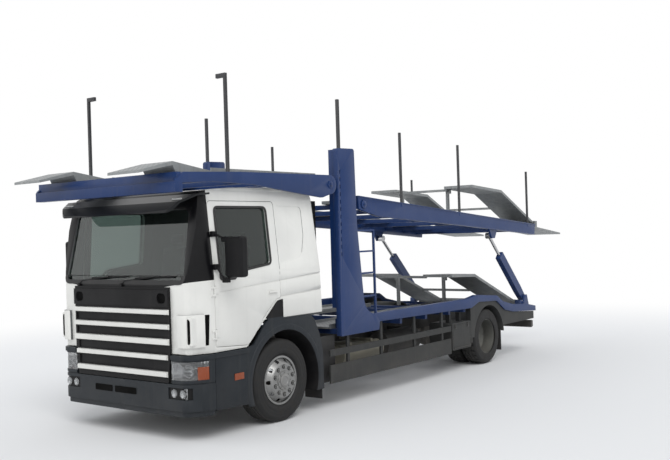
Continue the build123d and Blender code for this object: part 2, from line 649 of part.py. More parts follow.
with BuildPart() as door_glass_left:
    with BuildSketch(side(CAB_TOP_HALF - 160)):
        with BuildLine():
            FilletPolyline(*WINDOW_OUTLINE, radius=(40, 60, 60, 60, 60, 30), close=True)
        make_face()
        offset(amount=-FIT)
    extrude(amount=600)
    add(PANE_OUTER, mode=Mode.INTERSECT)
    add(PANE_INNER, mode=Mode.SUBTRACT)
door_glass_left.part.label = "door_glass_left"
export_step(door_glass_left.part, "parts/door_glass_left.step")

with BuildPart() as door_glass_right:
    mirror(door_glass_left.part, about=Plane.YZ)
door_glass_right.part.label = "door_glass_right"
export_step(door_glass_right.part, "parts/door_glass_right.step")

with BuildPart() as windscreen:
    with BuildSketch(across(CAB_FRONT_Y - 300)):
        with BuildLine():
            FilletPolyline(
                (-SCREEN_HALF[0], SCREEN_Z[0]), (-SCREEN_HALF[1], SCREEN_Z[1]), (SCREEN_HALF[1], SCREEN_Z[1]),
                (SCREEN_HALF[0], SCREEN_Z[0]), radius=70, close=True,
            )
        make_face()
        offset(amount=-FIT)
    extrude(amount=-800)
    add(PANE_OUTER, mode=Mode.INTERSECT)
    add(PANE_INNER, mode=Mode.SUBTRACT)
windscreen.part.label = "windscreen"
export_step(windscreen.part, "parts/windscreen.step")

# Cab inside: dashboard with its column, steering wheel, seats and the bunk behind them
DRIVER_X = 560.0
WHEEL_CENTRE = (-760.0, 1790.0)
WHEEL_R = 225.0
WHEEL_LEAN = 28.0
FLOOR_FRONT_Z = CAB_LOW_Z + CAB_WALL
FLOOR_REAR_Z = CAB_REAR_LOW_Z + CAB_WALL
CABIN_HALF = CAB_HALF - CAB_WALL

with BuildPart() as dashboard:
    plate([
        (CAB_FRONT_Y + CAB_WALL + 12, 1330), (CAB_FRONT_Y + CAB_WALL + 4, 1700), (-1140, 1740), (-960, 1700),
        (-930, 1560), (-1010, 1420), (-1120, 1330),
    ], (125 - CABIN_HALF, CABIN_HALF - 125))
    plate([
        (CAB_FRONT_Y + CAB_WALL + 12, 1340), (CAB_FRONT_Y + CAB_WALL + 12, FLOOR_FRONT_Z + FIT),
        (-1180, FLOOR_FRONT_Z + FIT), (-1150, 1340),
    ], (-300, 300))
    column_dir = Vector(0, cos(radians(90 - WHEEL_LEAN)), cos(radians(WHEEL_LEAN)))
    column_top = Vector(DRIVER_X, FRONT_AXLE_Y + WHEEL_CENTRE[0], WHEEL_CENTRE[1]) - column_dir * 30
    with BuildSketch(Plane(origin=column_top, z_dir=-column_dir)):
        Circle(34)
    extrude(amount=420)
    block((DRIVER_X - 60, DRIVER_X + 60), (-1080, -960), (1480, 1600))
dashboard.part.label = "dashboard"
export_step(dashboard.part, "parts/dashboard.step")

with BuildPart() as steering_wheel:
    hub = Plane(origin=column_top + column_dir * FIT, x_dir=(1, 0, 0), z_dir=column_dir)
    with BuildSketch(hub):
        Circle(62)
    extrude(amount=34)
    with BuildSketch(hub.offset(8)):
        for spoke_turn in (0, 90):
            with Locations(Location((0, 0), spoke_turn)):
                Rectangle(2 * WHEEL_R, 36)
    extrude(amount=12)
    rim_section = Plane(origin=hub.origin + column_dir * 14, x_dir=(1, 0, 0), z_dir=hub.y_dir)
    with BuildSketch(rim_section):
        with Locations((WHEEL_R, 0)):
            RegularPolygon(15, 6)
    revolve(axis=Axis(hub.origin, column_dir))
steering_wheel.part.label = "steering_wheel"
export_step(steering_wheel.part, "parts/steering_wheel.step")

SEAT_HALF_W = 245.0
SEAT_FRONT_Y = -560.0
with BuildPart() as seats:
    for seat_x in (-DRIVER_X, DRIVER_X):
        seat_span = (seat_x - SEAT_HALF_W, seat_x + SEAT_HALF_W)
        base_span = (seat_x - SEAT_HALF_W + 45, seat_x + SEAT_HALF_W - 45)
        plate([
            (SEAT_FRONT_Y + 330, FLOOR_REAR_Z + FIT), (SEAT_FRONT_Y + 290, 1520), (SEAT_FRONT_Y + 470, 1520),
            (SEAT_FRONT_Y + 470, FLOOR_REAR_Z + FIT),
        ], base_span)
        plate([
            (SEAT_FRONT_Y, 1540), (SEAT_FRONT_Y + 10, 1650), (SEAT_FRONT_Y + 400, 1630), (SEAT_FRONT_Y + 500, 2190),
            (SEAT_FRONT_Y + 570, 2190), (SEAT_FRONT_Y + 520, 1540), (SEAT_FRONT_Y + 480, 1510),
            (SEAT_FRONT_Y + 60, 1510),
        ], seat_span)
        plate([
            (SEAT_FRONT_Y + 505, 2190), (SEAT_FRONT_Y + 500, 2350), (SEAT_FRONT_Y + 575, 2350),
            (SEAT_FRONT_Y + 565, 2190),
        ], (seat_x - 130, seat_x + 130))
seats.part.label = "seats"
export_step(seats.part, "parts/seats.step")

with BuildPart() as bunk:
    bunk_y = (150.0, CAB_BACK_Y - CAB_WALL - 35)
    block((20 - CABIN_HALF, CABIN_HALF - 20), bunk_y, (1560, 1700))
    block((60 - CABIN_HALF, CABIN_HALF - 60), (bunk_y[0] + 30, bunk_y[1] - 20), (FLOOR_REAR_Z + FIT, 1560))
bunk.part.label = "bunk"
export_step(bunk.part, "parts/bunk.step")

# Bumper: wraps both front corners; its middle is cut down for the grille
LAMP_X = (LOW_HALF - 440.0, LOW_HALF - 40.0)
LAMP_Z = (700.0, 905.0)
# The amber turn lamp fills the headlamp's outer corner up to this height
TURN_LAMP_X = LOW_HALF - 78.0
TURN_LAMP_TOP_Z = 846.0
FOG_X = (LOW_HALF - 430.0, LOW_HALF - 108.0)
FOG_Z = (485.0, 615.0)
FOG_LAMP_R = 52.0
SKIRT_FRONT_Y = -1145.0
LAMP_DEPTH = 450.0


def front_wrap(inset):
    """Plan of the lower front from one skirt round to the other, drawn in by inset."""
    half = LOW_HALF - inset
    nose = BUMPER_FRONT_Y + inset
    return FilletPolyline(
        (half, SKIRT_FRONT_Y), (half - 15, nose + 190), (half - 160, nose + 12), (0, nose), (160 - half, nose + 12),
        (15 - half, nose + 190), (-half, SKIRT_FRONT_Y), radius=(150, 120, 4000, 120, 150),
    )


with BuildPart() as bumper:
    with BuildSketch(level(BUMPER_LOW_Z)):
        with BuildLine():
            outer_edge = front_wrap(0)
            inner_edge = front_wrap(BUMPER_T)
            Line(outer_edge @ 0, inner_edge @ 0)
            Line(outer_edge @ 1, inner_edge @ 1)
        make_face()
    extrude(amount=SKIRT_TOP_Z - BUMPER_LOW_Z)
    # Ledge along the top edge, a groove below the lamps and the drawn-in lower lip
    for band_z, band_h, band_out, band_in, band_mode in (
        (SKIRT_TOP_Z - 52, 52, -LEDGE_PROUD, 20, Mode.ADD), (LAMP_Z[0] - 48, 14, -20, 8, Mode.SUBTRACT),
        (BUMPER_LOW_Z, 62, -20, 16, Mode.SUBTRACT),
    ):
        with BuildSketch(level(band_z)):
            with BuildLine():
                band_outer = front_wrap(band_out)
                band_inner = front_wrap(band_in)
                Line(band_outer @ 0, band_inner @ 0)
                Line(band_outer @ 1, band_inner @ 1)
            make_face()
        extrude(amount=band_h, mode=band_mode)
    with BuildSketch(across(BUMPER_FRONT_Y - 200)):
        with Locations((0, GRILLE_Z[0] + 400)):
            Rectangle(2 * (GRILLE_HALF + 8), 800)
        for lamp_side in (-1, 1):
            with Locations((lamp_side * (LAMP_X[0] + LAMP_X[1] + 120) / 2, (LAMP_Z[0] + LAMP_Z[1]) / 2)):
                Rectangle(LAMP_X[1] - LAMP_X[0] + 120, LAMP_Z[1] - LAMP_Z[0])
            with Locations((lamp_side * (FOG_X[0] + FOG_X[1]) / 2, (FOG_Z[0] + FOG_Z[1]) / 2)):
                Rectangle(FOG_X[1] - FOG_X[0], FOG_Z[1] - FOG_Z[0])
        for slot_x in (-290, 0):
            with Locations((slot_x, 530)):
                Rectangle(240, 50)
    extrude(amount=-LAMP_DEPTH, mode=Mode.SUBTRACT)
    for bracket_x in (-RAIL_X[1], RAIL_X[0]):
        block(
            (bracket_x, bracket_x + 80), (BUMPER_FRONT_Y + 40, RAIL_Y[0] - FIT), (GRILLE_Z[0] - 240, GRILLE_Z[0] - 20),
        )
        block((bracket_x, bracket_x + 80), (RAIL_Y[0] - 30, RAIL_Y[0] - FIT), (GRILLE_Z[0] - 240, RAIL_Z[1] - 80))
bumper.part.label = "bumper"
export_step(bumper.part, "parts/bumper.step")

# Lamps: headlamp units that wrap the corners and the fog lamps below
KEEP_HEAD = (GRILLE_HALF + 6, CAB_HALF + 100)


def lamp_ring(low_z, high_z, lens_in, back_in):
    """Band round the lower front between two insets, in the block that is open."""
    with BuildSketch(level(low_z)) as ring:
        with BuildLine():
            lens_edge = front_wrap(lens_in)
            back_edge = front_wrap(back_in)
            Line(lens_edge @ 0, back_edge @ 0)
            Line(lens_edge @ 1, back_edge @ 1)
        make_face()
    extrude(ring.sketch, amount=high_z - low_z)


def turn_lamp_room(gap):
    """Room of the amber lamps in the headlamps' outer corners, in the block that is open."""
    with BuildSketch(across(BUMPER_FRONT_Y - 200)) as room:
        for lamp_side in (-1, 1):
            lamp_x = (TURN_LAMP_X - gap, KEEP_HEAD[1])
            with Locations((lamp_side * (lamp_x[0] + lamp_x[1]) / 2, (LAMP_Z[0] + TURN_LAMP_TOP_Z + gap) / 2)):
                Rectangle(lamp_x[1] - lamp_x[0], TURN_LAMP_TOP_Z + gap - LAMP_Z[0])
    return room.sketch


with BuildPart() as headlamps:
    lamp_ring(LAMP_Z[0] + FIT, LAMP_Z[1] - FIT, 6, BUMPER_T + 40)
    lamp_ring(FOG_Z[0] + FIT, FOG_Z[1] - FIT, 14, BUMPER_T + 20)
    with BuildSketch(across(BUMPER_FRONT_Y - 200)):
        for lamp_side in (-1, 1):
            with Locations((lamp_side * (KEEP_HEAD[0] + KEEP_HEAD[1]) / 2, (LAMP_Z[0] + LAMP_Z[1]) / 2)):
                Rectangle(KEEP_HEAD[1] - KEEP_HEAD[0], LAMP_Z[1] - LAMP_Z[0])
            with Locations((lamp_side * (FOG_X[0] + FOG_X[1]) / 2, (FOG_Z[0] + FOG_Z[1]) / 2)):
                Rectangle(FOG_X[1] - FOG_X[0] - 2 * FIT, FOG_Z[1] - FOG_Z[0])
    extrude(amount=FIT - LAMP_DEPTH, mode=Mode.INTERSECT)
    extrude(turn_lamp_room(0), amount=-LAMP_DEPTH - 100, mode=Mode.SUBTRACT)
    # Each fog unit has two round lamps sunk in its face
    with BuildSketch(across(BUMPER_FRONT_Y - 20)):
        for lamp_side in (-1, 1):
            for lamp_x in (FOG_X[0] + 85, FOG_X[0] + 225):
                with Locations((lamp_side * lamp_x, (FOG_Z[0] + FOG_Z[1]) / 2)):
                    Circle(FOG_LAMP_R)
    extrude(amount=-52, mode=Mode.SUBTRACT)
headlamps.part.label = "headlamps"
export_step(headlamps.part, "parts/headlamps.step")

with BuildPart() as turn_lamps:
    lamp_ring(LAMP_Z[0] + FIT, TURN_LAMP_TOP_Z - FIT, 8, BUMPER_T + 40)
    extrude(turn_lamp_room(-FIT), amount=FIT - LAMP_DEPTH, mode=Mode.INTERSECT)
turn_lamps.part.label = "turn_lamps"
export_step(turn_lamps.part, "parts/turn_lamps.step")

# Grille: dark panel with a plain panel above, and five pale bars that are clipped to its face
GRILLE_BACK_Y = CAB_FRONT_Y - 10 - FIT
GRILLE_FACE_Y = GRILLE_BACK_Y - 26.0
BAR_PROUD = 30.0
# Bar rows are (height of the middle, depth of the bar, half width)
GRILLE_BARS = (
    (1455, 62, GRILLE_HALF), (1290, 62, GRILLE_HALF), (1120, 74, GRILLE_HALF - 5), (945, 62, GRILLE_HALF - 35),
    (755, 66, GRILLE_HALF - 40),
)

with BuildPart() as grille:
    with BuildSketch(across(GRILLE_BACK_Y)):
        with BuildLine():
            Polyline(
                (-GRILLE_HALF, 1010), (-GRILLE_HALF, GRILLE_Z[1]), (GRILLE_HALF, GRILLE_Z[1]), (GRILLE_HALF, 1010),
                (GRILLE_HALF - 40, GRILLE_Z[0] + 6), (40 - GRILLE_HALF, GRILLE_Z[0] + 6), close=True,
            )
        make_face()
    extrude(amount=GRILLE_BACK_Y - GRILLE_FACE_Y)
    # Shallow rows of openings between the bars
    with BuildSketch(across(GRILLE_FACE_Y)):
        for upper, lower in zip(GRILLE_BARS, GRILLE_BARS[1:]):
            gap_top = upper[0] - upper[1] / 2 - 12
            gap_low = lower[0] + lower[1] / 2 + 12
            with Locations((0, (gap_top + gap_low) / 2)):
                Rectangle(2 * (lower[2] - 25), gap_top - gap_low)
    extrude(amount=-14, mode=Mode.SUBTRACT)
    with BuildSketch(across(GRILLE_FACE_Y)):
        with Locations((0, 1610)):
            Rectangle(2 * GRILLE_HALF, 190)
    extrude(amount=BAR_PROUD - 12)
    with BuildSketch(across(GRILLE_FACE_Y - BAR_PROUD)):
        with Locations((-740, 1610), (740, 1610)):
            RectangleRounded(140, 120, 50)
    extrude(amount=-BAR_PROUD, mode=Mode.SUBTRACT)
grille.part.label = "grille"
export_step(grille.part, "parts/grille.step")

with BuildPart() as grille_bars:
    for bar_z, bar_h, bar_half in GRILLE_BARS:
        with BuildSketch(across(GRILLE_FACE_Y - FIT)):
            with Locations((0, bar_z)):
                Rectangle(2 * bar_half, bar_h)
        extrude(amount=BAR_PROUD, taper=14)
grille_bars.part.label = "grille_bars"
export_step(grille_bars.part, "parts/grille_bars.step")

# Sun visor: a curved peak over the windscreen, on brackets from the roof
VISOR_HALF = CAB_HALF - 20.0
with BuildPart() as sun_visor:
    plate([
        (-1120, 2790), (-1300, 2772), (-1470, 2690), (-1550, 2575), (-1530, 2568), (-1450, 2672), (-1290, 2750),
        (-1120, 2768),
    ], (-VISOR_HALF, VISOR_HALF))
    with BuildSketch(level(2500)):
        with BuildLine():
            FilletPolyline(
                (-VISOR_HALF, -1050), (-VISOR_HALF, -1250), (185 - VISOR_HALF, -1530), (0, -1560),
                (VISOR_HALF - 185, -1530),
                (VISOR_HALF, -1250), (VISOR_HALF, -1050), radius=(120, 200, 4000, 200, 120),
            )
            Line((-VISOR_HALF, -1050), (VISOR_HALF, -1050))
        make_face()
    extrude(amount=400, mode=Mode.INTERSECT)
    for bracket_x in (-900, 0, 900):
        plate([
            (-1190, 2772), (-1210, 2690), (-1160, 2700), (-1120, 2772),
        ], (bracket_x - 20, bracket_x + 20))
    add(CAB_OUTER, mode=Mode.SUBTRACT)
sun_visor.part.label = "sun_visor"
export_step(sun_visor.part, "parts/sun_visor.step")

# Front skirts and wheel arches: outer skin with the arch cut out, and the liner over the tyre
with BuildPart() as front_fenders:
    arch_floor = 285.0
    plate([
        (SKIRT_FRONT_Y + 4, 335), (SKIRT_FRONT_Y + 4, SKIRT_TOP_Z), (-620, SKIRT_TOP_Z), (-500, 1000), (-275, 1240),
        (-240, 1262), (570, 1262), (640, 1200), (740, 1000), (800, 760), (805, arch_floor), (600, arch_floor),
        (-560, 320), (-640, 320),
    ], (LOW_HALF - SKIRT_T, LOW_HALF))
    # Ledge along the skirt's top, which runs on as the raised lip round the arch
    block((LOW_HALF - 5, LOW_HALF + LEDGE_PROUD), (SKIRT_FRONT_Y + 4, -590), (SKIRT_TOP_Z - 52, SKIRT_TOP_Z))
    turned(ARCH_C[0], ARCH_C[1], [
        (LOW_HALF - 5, ARCH_R), (LOW_HALF + LEDGE_PROUD, ARCH_R), (LOW_HALF + LEDGE_PROUD, ARCH_R + 62),
        (LOW_HALF - 5, ARCH_R + 80),
    ])
    # Dark filler between the door's slanting edge and the rear panel
    plate([
        (-262, 1296), (-50, 1486), (25, 1497), (44, 1497), (44, 1230), (-210, 1230),
    ], (CAB_HALF + FIT, LOW_HALF))
    rod((ARCH_IN_X, LOW_HALF), ARCH_C, ARCH_R + ARCH_T)
    rod((ARCH_IN_X - 100, LOW_HALF + 100), ARCH_C, ARCH_R, mode=Mode.SUBTRACT)
    block((0, 2000), (-1300, 1000), (-400, arch_floor), mode=Mode.SUBTRACT)
    plate([
        (-640, 0), (-640, 320), (-560, 420), (0, 420), (0, 0),
    ], (ARCH_IN_X - 100, LOW_HALF - SKIRT_T), mode=Mode.SUBTRACT)
    block((LOW_HALF - 150, LOW_HALF - SKIRT_T), (-1100, -640), (880, 905))
    stay_y = ARCH_C[0] + ARCH_R - 40
    block((RAIL_X[1] + FIT, LOW_HALF - SKIRT_T), (stay_y, stay_y + 50), (800, 850))
    mirror(about=Plane.YZ)
front_fenders.part.label = "front_fenders"
export_step(front_fenders.part, "parts/front_fenders.step")

# The tilting ramps are plates this thick, so each pivot lies half of it below its upper corner
RAMP_T = 45.0
RAMP_PIN_R = 34.0
TRUNNION_R = 20.0
TRUNNION_IN = RUNWAY_X[1] - 30.0
TAIL_CROSS_Z = (820.0, 870.0)


def ramp_axis(pin):
    """Centre of a ramp's pivot tube."""
    return (pin[0], pin[1] - RAMP_T / 2)


# Side frames: the sill beam with the front post, drawn as one plate outline with its welded gusset
ARCH_TOP = ((WHEELBASE - 400, 1190.0), (WHEELBASE + 310, 1130.0))
# The frame's lower edge over the rear wheels, from the tail forwards; the mudguards seat under it
FRAME_UNDER = (
    (FRAME_END_Y, 740.0), (WHEELBASE + 910, 800.0), (WHEELBASE + 600, 860.0), (WHEELBASE + 300, 1040.0),
    (WHEELBASE - 340, 1070.0), (WHEELBASE - 600, 990.0),
)
# Column of slots for the deck's locking pins near the post's front edge
POST_SLOT_ROWS = [2000.0 + 100 * row for row in range(12)]

with BuildPart() as body_frame_left:
    frame_x = (BODY_HALF - FRAME_T, BODY_HALF)
    with BuildSketch(side(frame_x[0])):
        with BuildLine():
            FilletPolyline(
                (POST_FRONT_Y, FRAME_LOW_Z), (POST_FRONT_Y + 15, POST_TOP_Z), (POST_TOP_BACK_Y, POST_TOP_Z + 10),
                (POST_TOP_BACK_Y + 20, 2400), (1720, SILL_Z), (WHEELBASE - 700, SILL_Z), ARCH_TOP[0], ARCH_TOP[1],
                (WHEELBASE + 520, 1015), (WHEELBASE + 920, 930), (WHEELBASE + 1480, 890), (FRAME_END_Y, 830),
                *FRAME_UNDER, (2060, SILL_Z - SILL_H), (2040, FRAME_LOW_Z),
                radius=(15, 40, 40, 300, 260, 400, 120, 120, 120, 200, 200, 8, 8, 1, 1, 1, 1, 1, 8, 8),
                close=True,
            )
        make_face()
    extrude(amount=FRAME_T)
    with BuildSketch(side(BODY_HALF)):
        for slot_z in POST_SLOT_ROWS:
            with Locations((POST_FRONT_Y + 52 + 0.0044 * slot_z, slot_z)):
                SlotOverall(58, 20, rotation=90)
    extrude(amount=-26, mode=Mode.SUBTRACT)
    # Front post stands deeper than the sill, as a box behind its outer plate
    plate([
        (POST_FRONT_Y + 10, 1290), (POST_FRONT_Y + 20, POST_TOP_Z - 15), (POST_TOP_BACK_Y - 140, POST_TOP_Z - 15),
        (POST_TOP_BACK_Y - 130, 1290),
    ], (BODY_HALF - FRAME_T - 70, BODY_HALF - FRAME_T))
    # Stake on the post, and the outrigger under it that reaches the chassis rail
    block((BODY_HALF - 45, BODY_HALF - 8), (1235, 1272), (POST_TOP_Z - 20, 4070))
    # Brackets with their pins for the header deck, in front, and the upper deck, behind
    for pin, pin_r, arm_y, plate_in in (
        (HEADER_PIN, HEADER_PIN_R, POST_FRONT_Y + 40, BODY_HALF - HEADER_T),
        (UPPER_PIN, UPPER_PIN_R, POST_TOP_BACK_Y - 160, BODY_HALF - UPPER_T),
    ):
        bracket_x = (BODY_HALF - FRAME_T - 45, BODY_HALF - FRAME_T - 5)
        block(bracket_x, sorted((pin[0], arm_y)), (pin[1] - 50, pin[1] + 50))
        rod((bracket_x[0], plate_in - RUN_GAP), pin, 50)
        rod((bracket_x[0], BODY_HALF - 8), pin, pin_r)
    # Foot bracket and pin of the rear lifting strut
    foot_y, foot_z = STRUT_FOOT
    plate([
        (foot_y - 110, 870), (foot_y - 45, foot_z + 45), (foot_y + 45, foot_z + 45), (foot_y + 110, 870),
    ], (STRUT_X[1] + RUN_GAP + 4, BODY_HALF - 45))
    rod((STRUT_X[0] + 10, BODY_HALF - 45), STRUT_FOOT, PIN_R)
    # Trunnion of the lower tilting ramp
    rod((TRUNNION_IN, BODY_HALF - FRAME_T), ramp_axis(LOWER_RAMP_PIN), TRUNNION_R)
    ramp_y, ramp_z = ramp_axis(LOWER_RAMP_PIN)
    block((RUNWAY_X[1] + 30, BODY_HALF - FRAME_T), (ramp_y - 40, ramp_y + 40), (TAIL_CROSS_Z[0] + 5, ramp_z + 30))
    for outrigger_y in (1300, 2700, WHEELBASE - 1200):
        plate([
            (outrigger_y, SILL_Z - SILL_H - 30), (outrigger_y, SILL_Z - 20), (outrigger_y + 70, SILL_Z - 20),
            (outrigger_y + 70, SILL_Z - SILL_H - 30),
        ], (RUNWAY_X[1] + 10, BODY_HALF - FRAME_T))
body_frame_left.part.label = "body_frame_left"
export_step(body_frame_left.part, "parts/body_frame_left.step")

with BuildPart() as body_frame_right:
    mirror(body_frame_left.part, about=Plane.YZ)
body_frame_right.part.label = "body_frame_right"
export_step(body_frame_right.part, "parts/body_frame_right.step")

# Crossmembers that tie the side frames to the chassis
CROSS_Z = (RAIL_Z[1] + FIT, DECK_Z - RUNWAY_T - FIT)
CROSS_ROWS = (1240.0, 1990.0, 2690.0, 3390.0, WHEELBASE - 1210, WHEELBASE - 720)
TAIL_CROSS_ROWS = (WHEELBASE + 1030, WHEELBASE + 1520)

with BuildPart() as body_crossmembers:
    for row_y in CROSS_ROWS:
        block((FIT - BODY_HALF + FRAME_T, BODY_HALF - FRAME_T - FIT), (row_y, row_y + 60), CROSS_Z)
body_crossmembers.part.label = "body_crossmembers"
export_step(body_crossmembers.part, "parts/body_crossmembers.step")

# Tail frame behind the chassis rails, which carries the towing jaw
with BuildPart() as tail_frame:
    for row_y in TAIL_CROSS_ROWS:
        block((FIT - BODY_HALF + FRAME_T, BODY_HALF - FRAME_T - FIT), (row_y, row_y + 60), TAIL_CROSS_Z)
    for rail_side in (-1, 1):
        tail_rail = sorted((rail_side * RAIL_X[0], rail_side * RAIL_X[1]))
        block(tail_rail, (RAIL_Y[1] + FIT, FRAME_END_Y - 40), (TAIL_CROSS_Z[0] - 110, TAIL_CROSS_Z[0] + 4))
tail_frame.part.label = "tail_frame"
export_step(tail_frame.part, "parts/tail_frame.step")

# Lower deck runways: pressed tread plates with turned-down edges
LOWER_RUN_Y = (POST_FRONT_Y + 20, WHEELBASE - 960)
TAIL_RUN_Y = (WHEELBASE + 1460, FRAME_END_Y - 10)

with BuildPart() as lower_runways:
    block(RUNWAY_X, LOWER_RUN_Y, (DECK_Z - RUNWAY_T, DECK_Z))
    for kerb_x in (RUNWAY_X[0], RUNWAY_X[1] - 12):
        block((kerb_x, kerb_x + 12), LOWER_RUN_Y, (DECK_Z, DECK_Z + 35))
    plate([
        (TAIL_RUN_Y[0], 870 + FIT), (TAIL_RUN_Y[0], 905), (TAIL_RUN_Y[1], 900), (TAIL_RUN_Y[1], 870 + FIT),
    ], RUNWAY_X)
    mirror(about=Plane.YZ)
lower_runways.part.label = "lower_runways"
export_step(lower_runways.part, "parts/lower_runways.step")

# Tilting ramps: kinked runways on a cross tube at the rear pivot, with a leg under the front.
# Places are counted from the pivot, forwards negative.
LEG_X = (RUNWAY_X[0] - 48, RUNWAY_X[0] - 8)
LEG_W = 60.0


def ramp(pin, kink, front, leg_back, leg_low, cross_backs):
    """Ramp with its rear pivot at pin; kink and front are its upper corners, from the pivot."""
    pin_y, pin_z = pin
    kink_y, kink_z = pin_y + kink[0], pin_z + kink[1]
    front_y, front_z = pin_y + front[0], pin_z + front[1]
    drop = RAMP_T * hypot(kink[0], kink[1]) / abs(kink[0])
    leg_under = kink_z - RAMP_T + (front_z - kink_z) * (leg_back - kink[0]) / (front[0] - kink[0])
    leg_y = (pin_y + leg_back, pin_y + leg_back + LEG_W)
    for side_sign in (-1, 1):
        span = sorted((side_sign * RUNWAY_X[0], side_sign * RUNWAY_X[1]))
        plate([
            (pin_y, pin_z), (kink_y, kink_z), (front_y, front_z), (front_y, front_z - RAMP_T),
            (kink_y, kink_z - drop), (pin_y, pin_z - drop),
        ], span)
        block(sorted((side_sign * LEG_X[0], side_sign * LEG_X[1])), leg_y, (leg_low, leg_under))
        foot = sorted((side_sign * LEG_X[0], side_sign * (RUNWAY_X[0] + 30)))
        block(foot, leg_y, (leg_under - 70, leg_under + 10))
    for back, height in cross_backs:
        block((-RUNWAY_X[0], RUNWAY_X[0]), (pin_y + back, pin_y + back + 50), (pin_z + height - 40, pin_z + height))
    tube_half = RUNWAY_X[1] + 20
    rod((-tube_half, tube_half), ramp_axis(pin), RAMP_PIN_R)
    for side_sign in (-1, 1):
        socket = sorted((side_sign * (TRUNNION_IN - 10), side_sign * tube_half))
        rod(socket, ramp_axis(pin), TRUNNION_R + FIT, mode=Mode.SUBTRACT)


with BuildPart() as lower_ramp:
    ramp(LOWER_RAMP_PIN, (-1460, 560), (-2240, 590), -1560, 960, ((-700, 240), (-2160, 560)))
lower_ramp.part.label = "lower_ramp"
export_step(lower_ramp.part, "parts/lower_ramp.step")

with BuildPart() as upper_ramp:
    ramp(UPPER_RAMP_PIN, (-1280, 575), (-2360, 645), -2230, 2440, ((-700, 290), (-2290, 600)))
upper_ramp.part.label = "upper_ramp"
export_step(upper_ramp.part, "parts/upper_ramp.step")

# Header deck: shaped side plates, crossbeams and stakes over the cab
HEADER_CROSS_ROWS = (-900.0, -150.0, 430.0, 740.0)

with BuildPart() as header_frame:
    plate_x = (BODY_HALF - HEADER_T, BODY_HALF)
    with BuildSketch(side(plate_x[0])):
        with BuildLine():
            FilletPolyline(
                (-1730, 2875), (-1580, 3000), (-690, 3032), (HEADER_PIN[0], HEADER_PIN[1] + 125),
                (HEADER_PIN[0], HEADER_PIN[1] - 125), (850, 2752), (460, 2790), (-450, 2888), (-1120, 2908),
                radius=(20, 60, 600, 5, 5, 80, 600, 900, 600), close=True,
            )
        make_face()
        with Locations(HEADER_PIN):
            Circle(125)
        with Locations(HEADER_PIN):
            Circle(HEADER_PIN_R + FIT, mode=Mode.SUBTRACT)
    extrude(amount=HEADER_T)
    block((0, BODY_HALF), (-1700, -1590), (2782, 2895))
    block((0, BODY_HALF - 10), (-1660, -1600), (2890, 3000))
    for row_y in HEADER_CROSS_ROWS:
        block((0, BODY_HALF - HEADER_T + 5), (row_y, row_y + 60), (2935, 3000))
    # Stake with its short top bar
    block((BODY_HALF - 32, BODY_HALF), (-890, -855), (3000, 4150))
    block((BODY_HALF - 150, BODY_HALF), (-890, -855), (4110, 4160))
    mirror(about=Plane.YZ)
header_frame.part.label = "header_frame"
export_step(header_frame.part, "parts/header_frame.step")

# Header trays: two wheel runways with a raised nose
TRAY_X = (BODY_HALF - 645, BODY_HALF - 135)

with BuildPart() as header_trays:
    plate([
        (NOSE_Y, 3010), (-1600, 3125), (-1020, 3040), (880, 3040), (880, 3000 + FIT), (-1020, 3000 + FIT),
        (-1560, 3000 + FIT), (-1600, 3080), (NOSE_Y, 2980),
    ], TRAY_X)
    for kerb_x in (TRAY_X[0], TRAY_X[1] - 14):
        block((kerb_x, kerb_x + 14), (-1020, 880), (3030, 3075))
    mirror(about=Plane.YZ)
header_trays.part.label = "header_trays"
export_step(header_trays.part, "parts/header_trays.step")

# Upper deck: side beams, crossmembers and stakes; the runways lie on the crossmembers
DECK_SLOPE = (UPPER_FRONT[1] - UPPER_BACK[1]) / (UPPER_BACK[0] - UPPER_FRONT[0])
UPPER_CROSS_ROWS = (
    1860.0, 2650.0, 3450.0, 4250.0, WHEELBASE - 300, WHEELBASE + 600, WHEELBASE + 1200, WHEELBASE + 1700,
)
STAKE_ROWS = ((2720.0, 3730.0), (WHEELBASE - 880, 3650.0), (WHEELBASE + 1620, 3310.0))
# The runways lie this far below the side beams' top edge
RUN_SINK = 30.0
UPPER_RUN_T = 45.0


def deck_line(y):
    """Height of the upper deck's top edge at y."""
    return UPPER_FRONT[1] - DECK_SLOPE * (y - UPPER_FRONT[0])


# Lower edge of the upper side beams, from the rear forwards, and the flanges that edge their outer side
BEAM_MID_Y = WHEELBASE - 890
BEAM_UNDER = (
    (UPPER_BACK[0] - 40, UPPER_BACK[1] - 195), (BEAM_MID_Y, deck_line(BEAM_MID_Y) - 215),
    (2140, deck_line(2140) - 250), (1930, deck_line(1930) - 225),
)
WEB_IN = 9.0
FLANGE_H = 16.0

